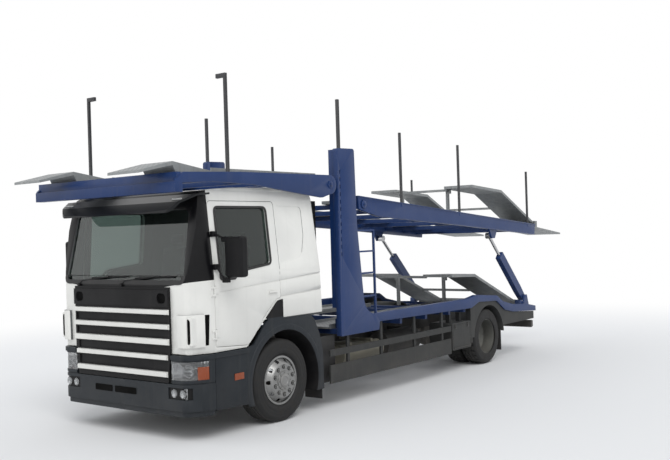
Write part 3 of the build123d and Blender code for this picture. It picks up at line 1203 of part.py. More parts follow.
with BuildPart() as upper_frame:
    beam_in = BODY_HALF - UPPER_T
    web_out = BODY_HALF - WEB_IN
    with BuildSketch(side(beam_in)):
        with BuildLine():
            Polyline(UPPER_FRONT, UPPER_BACK, *BEAM_UNDER, (UPPER_FRONT[0] + 15, 2610), close=True)
        make_face()
        with Locations(UPPER_PIN):
            Circle(UPPER_PIN_R + FIT, mode=Mode.SUBTRACT)
    extrude(amount=UPPER_T - WEB_IN)
    plate([
        UPPER_FRONT, UPPER_BACK, (UPPER_BACK[0], UPPER_BACK[1] - FLANGE_H),
        (UPPER_FRONT[0], UPPER_FRONT[1] - FLANGE_H),
    ], (web_out - 4, BODY_HALF))
    plate([
        *BEAM_UNDER, *[(under_y, under_z + FLANGE_H) for under_y, under_z in reversed(BEAM_UNDER)],
    ], (web_out - 4, BODY_HALF))
    for row_y in UPPER_CROSS_ROWS:
        top = deck_line(row_y + 60) - RUN_SINK - UPPER_RUN_T - FIT
        block((0, beam_in + 5), (row_y, row_y + 60), (top - 68, top))
    for stake_y, stake_top in STAKE_ROWS:
        block((BODY_HALF - 35, BODY_HALF - 5), (stake_y, stake_y + 34), (deck_line(stake_y) - 60, stake_top))
    # Lug for the eye of the lifting strut
    eye_y, eye_z = STRUT_EYE
    plate([
        (eye_y - 150, deck_line(eye_y) - 190), (eye_y - 50, eye_z - 45), (eye_y + 50, eye_z - 45),
        (eye_y + 150, deck_line(eye_y) - 190),
    ], (STRUT_X[1] + RUN_GAP, beam_in + 20))
    mirror(about=Plane.YZ)
upper_frame.part.label = "upper_frame"
export_step(upper_frame.part, "parts/upper_frame.step")

UPPER_RUN_Y = (1790.0, WHEELBASE + 1880)

with BuildPart() as upper_runways:
    run_front, run_back = UPPER_RUN_Y
    plate([
        (run_front, deck_line(run_front) - RUN_SINK), (run_back, deck_line(run_back) - RUN_SINK), (TAIL_Y, 2160),
        (TAIL_Y, 2130), (run_back, deck_line(run_back) - RUN_SINK - UPPER_RUN_T),
        (run_front, deck_line(run_front) - RUN_SINK - UPPER_RUN_T),
    ], RUNWAY_X)
    plate([
        (run_back + 70, deck_line(run_back) - 36), (TAIL_Y, 2160), (TAIL_Y, 2130),
        (run_back + 70, deck_line(run_back) - 85),
    ], (RUNWAY_X[1] - 20, BODY_HALF - 70))
    # Trunnion of the upper tilting ramp, on a lug that stands on the tail plate
    ramp_y, ramp_z = ramp_axis(UPPER_RAMP_PIN)
    rod((TRUNNION_IN, RUNWAY_X[1] + 60), (ramp_y, ramp_z), TRUNNION_R)
    block((RUNWAY_X[1] + 28, RUNWAY_X[1] + 60), (ramp_y - 40, ramp_y + 40), (2240, ramp_z + 30))
    mirror(about=Plane.YZ)
upper_runways.part.label = "upper_runways"
export_step(upper_runways.part, "parts/upper_runways.step")

# Rear lifting struts: hollow sleeve on the sill and the rod that slides in it
STRUT_TURN = atan2(STRUT_EYE[1] - STRUT_FOOT[1], STRUT_EYE[0] - STRUT_FOOT[0])
STRUT_L = hypot(STRUT_EYE[1] - STRUT_FOOT[1], STRUT_EYE[0] - STRUT_FOOT[0])
STRUT_DIR = (0, cos(STRUT_TURN), sin(STRUT_TURN))
STRUT_MID_X = (STRUT_X[0] + STRUT_X[1]) / 2
ROD_START = 620.0
STRUT_BASE = Plane(origin=(STRUT_X[0], FRONT_AXLE_Y + STRUT_FOOT[0], STRUT_FOOT[1]), x_dir=STRUT_DIR, z_dir=(1, 0, 0))
STRUT_AXIS = Plane(
    origin=(STRUT_MID_X, FRONT_AXLE_Y + STRUT_FOOT[0], STRUT_FOOT[1]), x_dir=(1, 0, 0), z_dir=STRUT_DIR,
)

with BuildPart() as strut_left:
    with BuildSketch(STRUT_BASE):
        with BuildLine():
            Polyline(
                (0, -60), (220, -STRUT_DEPTH / 2), (SLEEVE_L, -STRUT_DEPTH / 2), (SLEEVE_L, STRUT_DEPTH / 2),
                (220, STRUT_DEPTH / 2), (0, 60), close=True,
            )
        make_face()
        Circle(60)
        Circle(PIN_R + FIT, mode=Mode.SUBTRACT)
    extrude(amount=STRUT_X[1] - STRUT_X[0])
    with BuildSketch(STRUT_AXIS.offset(240)):
        Rectangle(STRUT_X[1] - STRUT_X[0] - 2 * STRUT_WALL, STRUT_DEPTH - 2 * STRUT_WALL)
    extrude(amount=SLEEVE_L - 240 - 40, mode=Mode.SUBTRACT)
    with BuildSketch(STRUT_AXIS.offset(200)):
        Circle(ROD_R + FIT)
    extrude(amount=SLEEVE_L, mode=Mode.SUBTRACT)
strut_left.part.label = "strut_left"
export_step(strut_left.part, "parts/strut_left.step")

with BuildPart() as strut_right:
    mirror(strut_left.part, about=Plane.YZ)
strut_right.part.label = "strut_right"
export_step(strut_right.part, "parts/strut_right.step")

with BuildPart() as strut_rod_left:
    with BuildSketch(STRUT_AXIS.offset(ROD_START)):
        Circle(ROD_R)
    extrude(amount=STRUT_L - ROD_START)
    rod((STRUT_X[0], STRUT_X[1]), STRUT_EYE, EYE_R)
strut_rod_left.part.label = "strut_rod_left"
export_step(strut_rod_left.part, "parts/strut_rod_left.step")

with BuildPart() as strut_rod_right:
    mirror(strut_rod_left.part, about=Plane.YZ)
strut_rod_right.part.label = "strut_rod_right"
export_step(strut_rod_right.part, "parts/strut_rod_right.step")

# Mirrors on the doors: a tall housing on two arms
MIRROR_X = (CAB_HALF + 175.0, CAB_HALF + 385.0)
MIRROR_Z = (1850.0, 2300.0)

with BuildPart() as mirror_housing:
    with BuildSketch(level(MIRROR_Z[0])):
        with BuildLine():
            FilletPolyline(
                (MIRROR_X[0], -1110), (MIRROR_X[1], -1075), (MIRROR_X[1], -1015), (MIRROR_X[0], -1015),
                radius=(30, 40, 12, 12), close=True,
            )
        make_face()
    extrude(amount=MIRROR_Z[1] - MIRROR_Z[0])
    with BuildSketch(across(-1300)):
        with Locations(((MIRROR_X[0] + MIRROR_X[1]) / 2, (MIRROR_Z[0] + MIRROR_Z[1]) / 2)):
            RectangleRounded(MIRROR_X[1] - MIRROR_X[0], MIRROR_Z[1] - MIRROR_Z[0], 38)
    extrude(amount=-600, mode=Mode.INTERSECT)
    # Hollow behind the mirror's glass
    glass_x = (MIRROR_X[0] + 16, MIRROR_X[1] - 16)
    block(glass_x, (-1029, -1000), (MIRROR_Z[0] + 22, MIRROR_Z[1] - 22), mode=Mode.SUBTRACT)

with BuildPart() as mirror_left:
    arm_in = CAB_HALF + FIT
    for arm_z in (1900.0, 2325.0):
        lean = (arm_z - 14 - CAB_WAIST_Z) * (CAB_HALF - CAB_TOP_HALF) / (ROOF_Z + 20 - CAB_WAIST_Z)
        block((arm_in - max(lean, 0), MIRROR_X[0] - 10), (-1075, -1045), (arm_z - 14, arm_z + 14))
    block((MIRROR_X[0] - 30, MIRROR_X[0] + 5), (-1085, -1035), (1860, 2365))
    add(mirror_housing.part)
mirror_left.part.label = "mirror_left"
export_step(mirror_left.part, "parts/mirror_left.step")

with BuildPart() as mirror_right:
    mirror(mirror_left.part, about=Plane.YZ)
mirror_right.part.label = "mirror_right"
export_step(mirror_right.part, "parts/mirror_right.step")

# Rear mudguards with the tail skirts behind them
REAR_ARCH_C = (WHEELBASE + 35, REAR_TYRE_R)
REAR_ARCH_R = 522.0
REAR_ARCH_T = 14.0

with BuildPart() as rear_fenders:
    skin_x = (WHEEL_OUT_X + 8, WHEEL_OUT_X + 24)
    seat_line = [(under_y, under_z - FIT) for under_y, under_z in FRAME_UNDER]
    plate([
        (FRAME_END_Y - 50, 600), (FRAME_END_Y - 50, 735), *seat_line[1:], (seat_line[-1][0], 410),
        (WHEELBASE + 500, 410), (WHEELBASE + 500, 600),
    ], skin_x)
    rod((TWIN_MID - 330, skin_x[1]), REAR_ARCH_C, REAR_ARCH_R + REAR_ARCH_T)
    rod((TWIN_MID - 400, skin_x[1] + 50), REAR_ARCH_C, REAR_ARCH_R, mode=Mode.SUBTRACT)
    block((0, 2000), (WHEELBASE - 800, WHEELBASE + 900), (-200, 500), mode=Mode.SUBTRACT)
    block((WHEEL_OUT_X - 60, skin_x[1]), (WHEELBASE - 598, WHEELBASE - 558), (420, FRAME_UNDER[-1][1] - FIT))
    mirror(about=Plane.YZ)
rear_fenders.part.label = "rear_fenders"
export_step(rear_fenders.part, "parts/rear_fenders.step")

# Side guards: an upper rail and a lower panel on hangers from the sill
GUARD_Y = (930.0, WHEELBASE - 1250)


def sill_under(y):
    """Height of the side frame's lower edge between the front gusset and the rear arch."""
    start_y, start_z = 2060.0, SILL_Z - SILL_H
    end_y, end_z = FRAME_UNDER[-1]
    return start_z + (end_z - start_z) * (y - start_y) / (end_y - start_y)


# Hanger rows are (place, height of the frame's underside there)
HANGER_ROWS = [(1340.0, FRAME_LOW_Z)]
HANGER_ROWS += [(row_y, sill_under(row_y + 50)) for row_y in (2130.0, 3000.0, WHEELBASE - 1500)]

with BuildPart() as side_guards:
    block((BODY_HALF - 45, BODY_HALF - 15), GUARD_Y, (675, 760))
    block((BODY_HALF - 45, BODY_HALF - 20), GUARD_Y, (320, 560))
    for hanger_y, under_z in HANGER_ROWS:
        block((BODY_HALF - 75, BODY_HALF - 44), (hanger_y, hanger_y + 50), (340, under_z - FIT))
    mirror(about=Plane.YZ)
side_guards.part.label = "side_guards"
export_step(side_guards.part, "parts/side_guards.step")

# Tool lockers in front of the rear wheels
BOX_Y = WHEELBASE - 910
BOX_L = 600.0

with BuildPart() as toolboxes:
    with BuildSketch(side(BODY_HALF - 445)):
        with Locations((BOX_Y, 575)):
            RectangleRounded(BOX_L, 430, 30)
    extrude(amount=425)
    # Door of the locker, a little smaller than its side, with the groove round it
    with BuildSketch(side(BODY_HALF - 20)):
        with Locations((BOX_Y, 575)):
            RectangleRounded(BOX_L - 50, 380, 22)
            RectangleRounded(BOX_L - 66, 364, 16, mode=Mode.SUBTRACT)
    extrude(amount=-8, mode=Mode.SUBTRACT)
    for strap_y in (BOX_Y - 190, BOX_Y + 130):
        block((BODY_HALF - 205, BODY_HALF - 135), (strap_y, strap_y + 60), (780, CROSS_Z[0]))
    mirror(about=Plane.YZ)
toolboxes.part.label = "toolboxes"
export_step(toolboxes.part, "parts/toolboxes.step")

# Ladder behind the left post
with BuildPart() as ladder:
    block((BODY_HALF - 45, BODY_HALF - 17), (1990, 2018), (SILL_Z + FIT, 2325))
    for rung_z in (1390.0, 1710.0, 2010.0, 2300.0):
        block((BODY_HALF - 43, BODY_HALF - 19), (1560, 2000), (rung_z, rung_z + 24))
    add(body_frame_left.part, mode=Mode.SUBTRACT)
ladder.part.label = "ladder"
export_step(ladder.part, "parts/ladder.step")

# Tanks along the chassis: fuel on the right, air reservoirs and silencer on the left
TANK_IN_X = RAIL_X[1] + 65.0
TANK_OUT_X = BODY_HALF - 155.0

with BuildPart() as fuel_tank:
    with BuildSketch(across(1300)):
        with Locations((-(TANK_IN_X + TANK_OUT_X) / 2, 610)):
            RectangleRounded(TANK_OUT_X - TANK_IN_X, 520, 90)
    extrude(amount=-1300)
    for strap_y in (1600, 2260):
        block((-500, -RAIL_X[1] - FIT), (strap_y, strap_y + 60), (680, 800))
fuel_tank.part.label = "fuel_tank"
export_step(fuel_tank.part, "parts/fuel_tank.step")

AIR_TANK_Y = (1500.0, 2450.0)
AIR_TANK_R = 130.0

with BuildPart() as air_tanks:
    for tank_x in (TANK_IN_X + AIR_TANK_R, TANK_IN_X + AIR_TANK_R + 300):
        with BuildSketch(across(AIR_TANK_Y[0])):
            with Locations((tank_x, 600)):
                Circle(AIR_TANK_R)
        extrude(amount=AIR_TANK_Y[0] - AIR_TANK_Y[1])
    for strap_y in (AIR_TANK_Y[0] + 200, AIR_TANK_Y[0] + 700):
        block((RAIL_X[1] + FIT, TANK_IN_X + AIR_TANK_R + 380), (strap_y, strap_y + 40), (720, 760))
air_tanks.part.label = "air_tanks"
export_step(air_tanks.part, "parts/air_tanks.step")

SILENCER_R = 190.0
SILENCER_L = 900.0
# The silencer lies midway between the air tanks and the left locker
SILENCER_Y = (AIR_TANK_Y[1] + BOX_Y - BOX_L / 2 - SILENCER_L) / 2

with BuildPart() as silencer:
    with BuildSketch(across(SILENCER_Y)):
        with Locations((TANK_IN_X + 20 + SILENCER_R, 590)):
            Circle(SILENCER_R)
    extrude(amount=-SILENCER_L)
    for strap_y in (SILENCER_Y + 200, SILENCER_Y + 650):
        block((RAIL_X[1] + FIT, TANK_IN_X + 20 + SILENCER_R), (strap_y, strap_y + 50), (740, 790))
silencer.part.label = "silencer"
export_step(silencer.part, "parts/silencer.step")

# Rear bar with its lamps, hung from the tail rails
with BuildPart() as rear_bar:
    block((0, BODY_HALF - 75), (FRAME_END_Y - 60, FRAME_END_Y), (430, 560))
    block(RAIL_X, (FRAME_END_Y - 110, FRAME_END_Y - 40), (440, TAIL_CROSS_Z[0] - 110 - FIT))
    block((BODY_HALF - 405, BODY_HALF - 85), (FRAME_END_Y, FRAME_END_Y + 45), (440, 550))
    mirror(about=Plane.YZ)
rear_bar.part.label = "rear_bar"
export_step(rear_bar.part, "parts/rear_bar.step")

# Towing jaw: funnel mouth with an upright pin bore, on a crossplate between the tail rails
JAW_BORE_R = 25.5
with BuildPart() as tow_coupling:
    jaw_y = (FRAME_END_Y - 150, FRAME_END_Y - 110)
    block((-RAIL_X[0] + FIT, RAIL_X[0] - FIT), jaw_y, (TAIL_CROSS_Z[0] - 105, TAIL_CROSS_Z[0] - 5))
    block((-150, 150), jaw_y, (560, TAIL_CROSS_Z[0] - 5))
    for jaw_z in (600.0, 700.0):
        with BuildSketch(level(jaw_z)):
            with BuildLine():
                Polyline(
                    (-110, FRAME_END_Y - 112), (110, FRAME_END_Y - 112), (110, FRAME_END_Y - 30),
                    (170, FRAME_END_Y + 60), (-170, FRAME_END_Y + 60), (-110, FRAME_END_Y - 30), close=True,
                )
            make_face()
            with Locations((0, FRAME_END_Y - 20)):
                Circle(JAW_BORE_R, mode=Mode.SUBTRACT)
        extrude(amount=34)
tow_coupling.part.label = "tow_coupling"
export_step(tow_coupling.part, "parts/tow_coupling.step")
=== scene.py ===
# %% [markdown]
# # Dressing a car transporter truck
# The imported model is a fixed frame: every plate, axle and joint is already at its real size.
# This lesson only adds what makes it look real: lights, finishes, rubber, glass, cloth and trim.
# Whatever moves is given to the body that carries it, so one scene looks right at every pose.

# %% Load the frame and measure it
import json
import math
from math import cos, pi, radians, sin

import bmesh
import bpy
from mathutils import Matrix, Vector
from mathutils.bvhtree import BVHTree


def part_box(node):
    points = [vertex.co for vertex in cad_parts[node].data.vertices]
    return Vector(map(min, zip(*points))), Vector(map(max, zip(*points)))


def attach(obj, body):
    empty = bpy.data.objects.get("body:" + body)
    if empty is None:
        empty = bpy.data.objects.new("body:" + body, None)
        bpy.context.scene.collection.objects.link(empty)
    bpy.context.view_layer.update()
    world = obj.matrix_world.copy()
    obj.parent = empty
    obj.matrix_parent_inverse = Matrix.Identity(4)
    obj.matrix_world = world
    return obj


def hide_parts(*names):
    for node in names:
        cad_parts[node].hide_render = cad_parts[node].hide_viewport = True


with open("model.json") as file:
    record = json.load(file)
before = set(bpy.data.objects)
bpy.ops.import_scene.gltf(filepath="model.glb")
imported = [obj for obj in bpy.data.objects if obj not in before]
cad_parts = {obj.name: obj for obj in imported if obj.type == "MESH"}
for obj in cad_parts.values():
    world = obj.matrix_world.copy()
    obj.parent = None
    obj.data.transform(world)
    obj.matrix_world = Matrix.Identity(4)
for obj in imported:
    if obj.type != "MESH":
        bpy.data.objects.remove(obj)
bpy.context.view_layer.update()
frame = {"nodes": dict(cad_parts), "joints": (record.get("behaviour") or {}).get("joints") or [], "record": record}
JOINTS = {joint["name"]: joint for joint in frame["joints"]}
FRONT_AXLE_Y = JOINTS["steer_left"]["pos_m"][1]
SIDES = (("left", 1), ("right", -1))


def at(x, place, z):
    """Point from x, the place behind the front axle and the height, all in metres."""
    return Vector((x, FRONT_AXLE_Y + place, z))


# %% [markdown]
# The camera stands at the left front corner, a little above head height, and looks level.
# Its lens comes from the width of the photograph in pixels and the focal length in pixels.
# An empty to track would be quicker, but it can't give the small roll, so the three axes are
# worked out from yaw, pitch and roll and written into the matrix.

# %% Camera
PHOTO_SIZE = (670, 460)
FOCAL_PX = 889.0
CAMERA_AT = (8.4, -11.43, 2.28)
CAMERA_YAW, CAMERA_PITCH, CAMERA_ROLL = radians(37.5), radians(0.23), radians(-1.78)

camera_data = bpy.data.cameras.new("camera")
camera_data.sensor_width = 36.0
camera_data.lens = camera_data.sensor_width * FOCAL_PX / PHOTO_SIZE[0]
camera = bpy.data.objects.new("camera", camera_data)
bpy.context.scene.collection.objects.link(camera)
back = Vector((sin(CAMERA_YAW) * cos(CAMERA_PITCH), -cos(CAMERA_YAW) * cos(CAMERA_PITCH), -sin(CAMERA_PITCH)))
right = (-back).cross(Vector((0, 0, 1))).normalized()
up = right.cross(-back)
rolled_right = cos(CAMERA_ROLL) * right + sin(CAMERA_ROLL) * up
rolled_up = cos(CAMERA_ROLL) * up - sin(CAMERA_ROLL) * right
camera_axes = Matrix((rolled_right, rolled_up, back)).transposed().to_4x4()
camera.matrix_world = Matrix.Translation(CAMERA_AT) @ camera_axes
bpy.context.scene.camera = camera
print("lens", round(camera_data.lens, 2), "mm")

# %% [markdown]
# The photograph was taken under a bright overcast sky. A sky picture could light the scene, but a
# plain pale colour does the same for a white sky, at a level where colours render as written.
# Camera, glossy and transmission rays see plain white, so paint and glass reflect a white sky.

# %% Sky
scene = bpy.context.scene
scene.view_settings.view_transform = "Standard"
SKY_COLOR, SKY_STRENGTH = (0.93, 0.96, 1.0, 1), 0.72


def seen_directly(tree):
    """1 for rays that should see the plain white background."""
    path = tree.nodes.new("ShaderNodeLightPath")
    total = path.outputs["Is Camera Ray"]
    for name in ("Is Glossy Ray", "Is Transmission Ray"):
        add = tree.nodes.new("ShaderNodeMath")
        add.use_clamp = True
        tree.links.new(total, add.inputs[0])
        tree.links.new(path.outputs[name], add.inputs[1])
        total = add.outputs[0]
    return total


world = bpy.data.worlds.new("sky")
scene.world = world
world.use_nodes = True
sky_tree = world.node_tree
sky = sky_tree.nodes["Background"]
sky.inputs["Color"].default_value = SKY_COLOR
sky.inputs["Strength"].default_value = SKY_STRENGTH
white = sky_tree.nodes.new("ShaderNodeBackground")
white.inputs["Color"].default_value = (1, 1, 1, 1)
sky_mix = sky_tree.nodes.new("ShaderNodeMixShader")
sky_tree.links.new(seen_directly(sky_tree), sky_mix.inputs["Fac"])
sky_tree.links.new(sky.outputs[0], sky_mix.inputs[1])
sky_tree.links.new(white.outputs[0], sky_mix.inputs[2])
sky_tree.links.new(sky_mix.outputs[0], sky_tree.nodes["World Output"].inputs["Surface"])
print("sky strength", SKY_STRENGTH)

# %% [markdown]
# Under cloud the shadows are soft and fall a little to one side. Area lamps would fade along a truck
# of ten metres, while a sun is the same everywhere: one wide sun and a weaker one from the other side.

# %% Lamps
# Lamp rows are (name, strength, spread in degrees, direction that the light comes from)
LAMPS = (("soft_sun", 1.35, 35, (0.75, -0.55, 1.0)), ("fill_sun", 0.45, 60, (-0.8, -0.9, 0.7)))
for lamp_name, strength, spread, source in LAMPS:
    lamp = bpy.data.objects.new(lamp_name, bpy.data.lights.new(lamp_name, "SUN"))
    lamp.data.energy = strength
    lamp.data.angle = radians(spread)
    lamp.rotation_mode = "QUATERNION"
    lamp.rotation_quaternion = Vector(source).to_track_quat("Z", "Y")
    scene.collection.objects.link(lamp)
print("lamps", [row[0] for row in LAMPS])

# %% [markdown]
# The floor is matt and pale near the truck, so it keeps the shadow under the wheels. Farther out it
# fades into a plain white glow, and no horizon line shows. A curved backdrop would do that from one
# side only; a fade by the distance from the middle does it from every side.

# %% Floor
FLOOR_GREY, FLOOR_ROUGHNESS = 0.78, 0.9
FLOOR_HALF = 60.0
FLOOR_NEAR, FLOOR_FAR = 7.0, 15.0
floor_mesh = bpy.data.meshes.new("floor")
floor_corners = [(x * FLOOR_HALF, y * FLOOR_HALF, 0) for x, y in ((-1, -1), (1, -1), (1, 1), (-1, 1))]
floor_mesh.from_pydata(floor_corners, [], [(0, 1, 2, 3)])
floor = bpy.data.objects.new("floor", floor_mesh)
scene.collection.objects.link(floor)
floor_paint = bpy.data.materials.new("floor")
floor_paint.use_nodes = True
floor_tree = floor_paint.node_tree
matt = floor_tree.nodes["Principled BSDF"]
matt.inputs["Base Color"].default_value = (FLOOR_GREY, FLOOR_GREY, FLOOR_GREY, 1)
matt.inputs["Roughness"].default_value = FLOOR_ROUGHNESS
glow = floor_tree.nodes.new("ShaderNodeEmission")
place_node = floor_tree.nodes.new("ShaderNodeTexCoord")
distance = floor_tree.nodes.new("ShaderNodeVectorMath")
distance.operation = "LENGTH"
fade = floor_tree.nodes.new("ShaderNodeMapRange")
fade.interpolation_type = "SMOOTHSTEP"
fade.inputs["From Min"].default_value = FLOOR_NEAR
fade.inputs["From Max"].default_value = FLOOR_FAR
both = floor_tree.nodes.new("ShaderNodeMath")
both.operation = "MULTIPLY"
floor_mix = floor_tree.nodes.new("ShaderNodeMixShader")
floor_tree.links.new(place_node.outputs["Object"], distance.inputs[0])
floor_tree.links.new(distance.outputs["Value"], fade.inputs["Value"])
floor_tree.links.new(fade.outputs["Result"], both.inputs[0])
floor_tree.links.new(seen_directly(floor_tree), both.inputs[1])
floor_tree.links.new(both.outputs[0], floor_mix.inputs["Fac"])
floor_tree.links.new(matt.outputs[0], floor_mix.inputs[1])
floor_tree.links.new(glow.outputs[0], floor_mix.inputs[2])
floor_tree.links.new(floor_mix.outputs[0], floor_tree.nodes["Material Output"].inputs["Surface"])
floor_mesh.materials.append(floor_paint)
print("floor fades from", FLOOR_NEAR, "to", FLOOR_FAR, "m")

# %% [markdown]
# Finishes share a few effects: road film that thins out upwards, bare metal along the edges, the
# slight waviness of sprayed paint, and the grain of moulded plastic. Each one is a node group with
# named inputs, built once. Groups can be wired by hand in the editor; in code, a small builder class
# keeps the wiring short and lets each effect read like a formula.


# %% A short way to write node trees
class Wires:
    """Adds nodes to one tree; a value is a number, a colour or another node's output."""

    def __init__(self, tree):
        self.tree = tree

    def node(self, kind, values=(), **settings):
        """One node: values are (input, value) pairs, and settings are its own properties."""
        made = self.tree.nodes.new(kind)
        for name, value in settings.items():
            setattr(made, name, value)
        for key, value in values:
            if isinstance(value, bpy.types.NodeSocket):
                self.tree.links.new(value, made.inputs[key])
            else:
                made.inputs[key].default_value = value
        return made

    def math(self, operation, first, second=0.0, clamp=False):
        """One arithmetic step on one or two values."""
        made = self.node("ShaderNodeMath", [(0, first), (1, second)], operation=operation, use_clamp=clamp)
        return made.outputs[0]

    def ramp(self, value, low, high, out_low=0.0, out_high=1.0):
        """Smooth step from out_low at low to out_high at high."""
        made = self.node("ShaderNodeMapRange", [("Value", value), ("From Min", low), ("From Max", high),
                                                ("To Min", out_low), ("To Max", out_high)],
                         interpolation_type="SMOOTHSTEP")
        return made.outputs["Result"]

    def noise(self, vector, scale, detail=4.0, rough=0.55):
        """Cloudy noise between 0 and 1."""
        made = self.node("ShaderNodeTexNoise", [("Vector", vector), ("Scale", scale), ("Detail", detail),
                                                ("Roughness", rough)])
        return made.outputs["Fac"]

    def stretched(self, vector, factors):
        """The vector with each axis multiplied by its own factor."""
        made = self.node("ShaderNodeVectorMath", [(0, vector), (1, factors)], operation="MULTIPLY")
        return made.outputs[0]

    def mix(self, factor, first, second):
        """Blend of two colours."""
        made = self.node("ShaderNodeMix", data_type="RGBA")
        for socket, value in ((made.inputs[0], factor), (made.inputs[6], first), (made.inputs[7], second)):
            if isinstance(value, bpy.types.NodeSocket):
                self.tree.links.new(value, socket)
            else:
                socket.default_value = value
        return made.outputs[2]

    def bump(self, height, strength, distance, more=()):
        """Normal that follows a height, up to a distance in metres."""
        rows = [("Height", height), ("Strength", strength), ("Distance", distance), *more]
        return self.node("ShaderNodeBump", rows).outputs[0]

    def where(self):
        """The point's place on its own body, which stays with it when the body moves."""
        return self.node("ShaderNodeTexCoord").outputs["Object"]

    def split(self, vector):
        """The vector's X, Y and Z."""
        return self.node("ShaderNodeSeparateXYZ", [(0, vector)]).outputs


def effect_group(name, inputs, outputs):
    """Empty node group with named sockets. Rows are (name, kind, start value)."""
    tree = bpy.data.node_groups.new(name, "ShaderNodeTree")
    for socket_name, kind, value in inputs:
        socket = tree.interface.new_socket(socket_name, in_out="INPUT", socket_type="NodeSocket" + kind)
        socket.default_value = value
    for socket_name, kind in outputs:
        tree.interface.new_socket(socket_name, in_out="OUTPUT", socket_type="NodeSocket" + kind)
    given, result = tree.nodes.new("NodeGroupInput").outputs, tree.nodes.new("NodeGroupOutput").inputs
    print("effect", name, "with", len(inputs), "inputs and", len(outputs), "outputs")
    return Wires(tree), given, result, tree


# %% [markdown]
# Road film is the grey-brown dust that wheels throw up. It is thick low down and fades with height,
# in patches and in streaks that rain has drawn. It could be painted by hand on each panel; worked out
# from height and noise, it fits every panel. Noise stretched along Z makes the streaks.

# %% Effect: road film
wires, given, result, ROAD_FILM = effect_group(
    "road_film",
    [("Color", "Color", (0.5, 0.5, 0.5, 1)), ("Film Color", "Color", (0.2, 0.18, 0.15, 1)),
     ("Roughness", "Float", 0.4), ("Film Roughness", "Float", 0.85), ("Amount", "Float", 0.5),
     ("Streaks", "Float", 0.15), ("Fade Height", "Float", 1.6)],
    [("Color", "Color"), ("Roughness", "Float")])
point = wires.where()
share_of_height = wires.math("DIVIDE", wires.split(point)["Z"], given["Fade Height"])
low_part = wires.math("SUBTRACT", 1.0, share_of_height, clamp=True)
patches = wires.ramp(wires.noise(point, 2.3, 6.0, 0.65), 0.3, 0.75)
streaks = wires.ramp(wires.noise(wires.stretched(point, (14.0, 14.0, 0.9)), 1.0, 3.0), 0.5, 0.8)
film_low = wires.math("MULTIPLY", wires.math("MULTIPLY", low_part, wires.ramp(patches, 0.0, 1.0, 0.45, 1.0)),
                      given["Amount"])
film_streaks = wires.math("MULTIPLY", streaks, given["Streaks"])
film = wires.math("ADD", film_low, film_streaks, clamp=True)
wires.tree.links.new(wires.mix(film, given["Color"], given["Film Color"]), result["Color"])
rougher = wires.math("SUBTRACT", given["Film Roughness"], given["Roughness"])
film_roughness = wires.math("ADD", given["Roughness"], wires.math("MULTIPLY", film, rougher))
wires.tree.links.new(film_roughness, result["Roughness"])

# %% [markdown]
# Edges lose their paint first. Pointiness could find them, but it needs dense meshes, and steel
# profiles have few faces. The Bevel node gives a normal rounded over the edge; where it leaves
# the true normal, the point lies beside an edge. Noise breaks that line up into chips.

# %% Effect: edge wear
wires, given, result, EDGE_WEAR = effect_group(
    "edge_wear",
    [("Color", "Color", (0.5, 0.5, 0.5, 1)), ("Bare Color", "Color", (0.25, 0.24, 0.23, 1)),
     ("Radius", "Float", 0.012), ("Amount", "Float", 0.7)],
    [("Color", "Color")])
rounded_normal = wires.node("ShaderNodeBevel", [("Radius", given["Radius"])], samples=4).outputs["Normal"]
true_normal = wires.node("ShaderNodeNewGeometry").outputs["Normal"]
alike = wires.node("ShaderNodeVectorMath", [(0, rounded_normal), (1, true_normal)], operation="DOT_PRODUCT")
near_edge = wires.ramp(alike.outputs["Value"], 0.97, 0.8)
chips = wires.ramp(wires.noise(wires.where(), 26.0, 6.0, 0.7), 0.48, 0.6)
worn = wires.math("MULTIPLY", wires.math("MULTIPLY", near_edge, chips), given["Amount"], clamp=True)
wires.tree.links.new(wires.mix(worn, given["Color"], given["Bare Color"]), result["Color"])

# %% [markdown]
# Sprayed paint is never flat: its skin has a fine orange peel, and large thin panels are a little
# wavy. Both are too shallow for geometry, so they are bumps. The same group gives plastic its
# leathery grain with a larger strength.

# %% Effect: surface grain
wires, given, result, SURFACE_GRAIN = effect_group(
    "surface_grain",
    [("Scale", "Float", 260.0), ("Strength", "Float", 0.1), ("Waviness", "Float", 0.1)],
    [("Normal", "Vector")])
point = wires.where()
fine = wires.noise(point, given["Scale"], 2.0)
broad = wires.noise(point, 2.2, 1.0)
fine_bump = wires.bump(fine, given["Strength"], 0.002)
wires.tree.links.new(wires.bump(broad, given["Waviness"], 0.03, [("Normal", fine_bump)]), result["Normal"])

# %% [markdown]
# Runways that cars drive on are pressed with rows of raised rings, each with a hole, so tyres grip
# and water runs off. Thousands of real rings would be a heavy mesh. Fractions of the place make the
# grid instead, and the distance to each centre draws the ring and its hole, whose near-black colour is painted
# shade.

# %% Effect: pressed runway plate
wires, given, result, PRESSED_PLATE = effect_group(
    "pressed_plate", [("Pitch", "Float", 0.07), ("Strength", "Float", 0.6)],
    [("Hole Shade", "Float"), ("Normal", "Vector")])
HOLE_R, RING_R = (0.012, 0.009), (0.024, 0.016)
place_x, place_y = (wires.split(wires.where())[axis] for axis in ("X", "Y"))


def to_centre(value):
    """Distance from the middle of the cell, in metres."""
    share = wires.math("FRACT", wires.math("DIVIDE", value, given["Pitch"]))
    return wires.math("MULTIPLY", wires.math("SUBTRACT", share, 0.5), given["Pitch"])


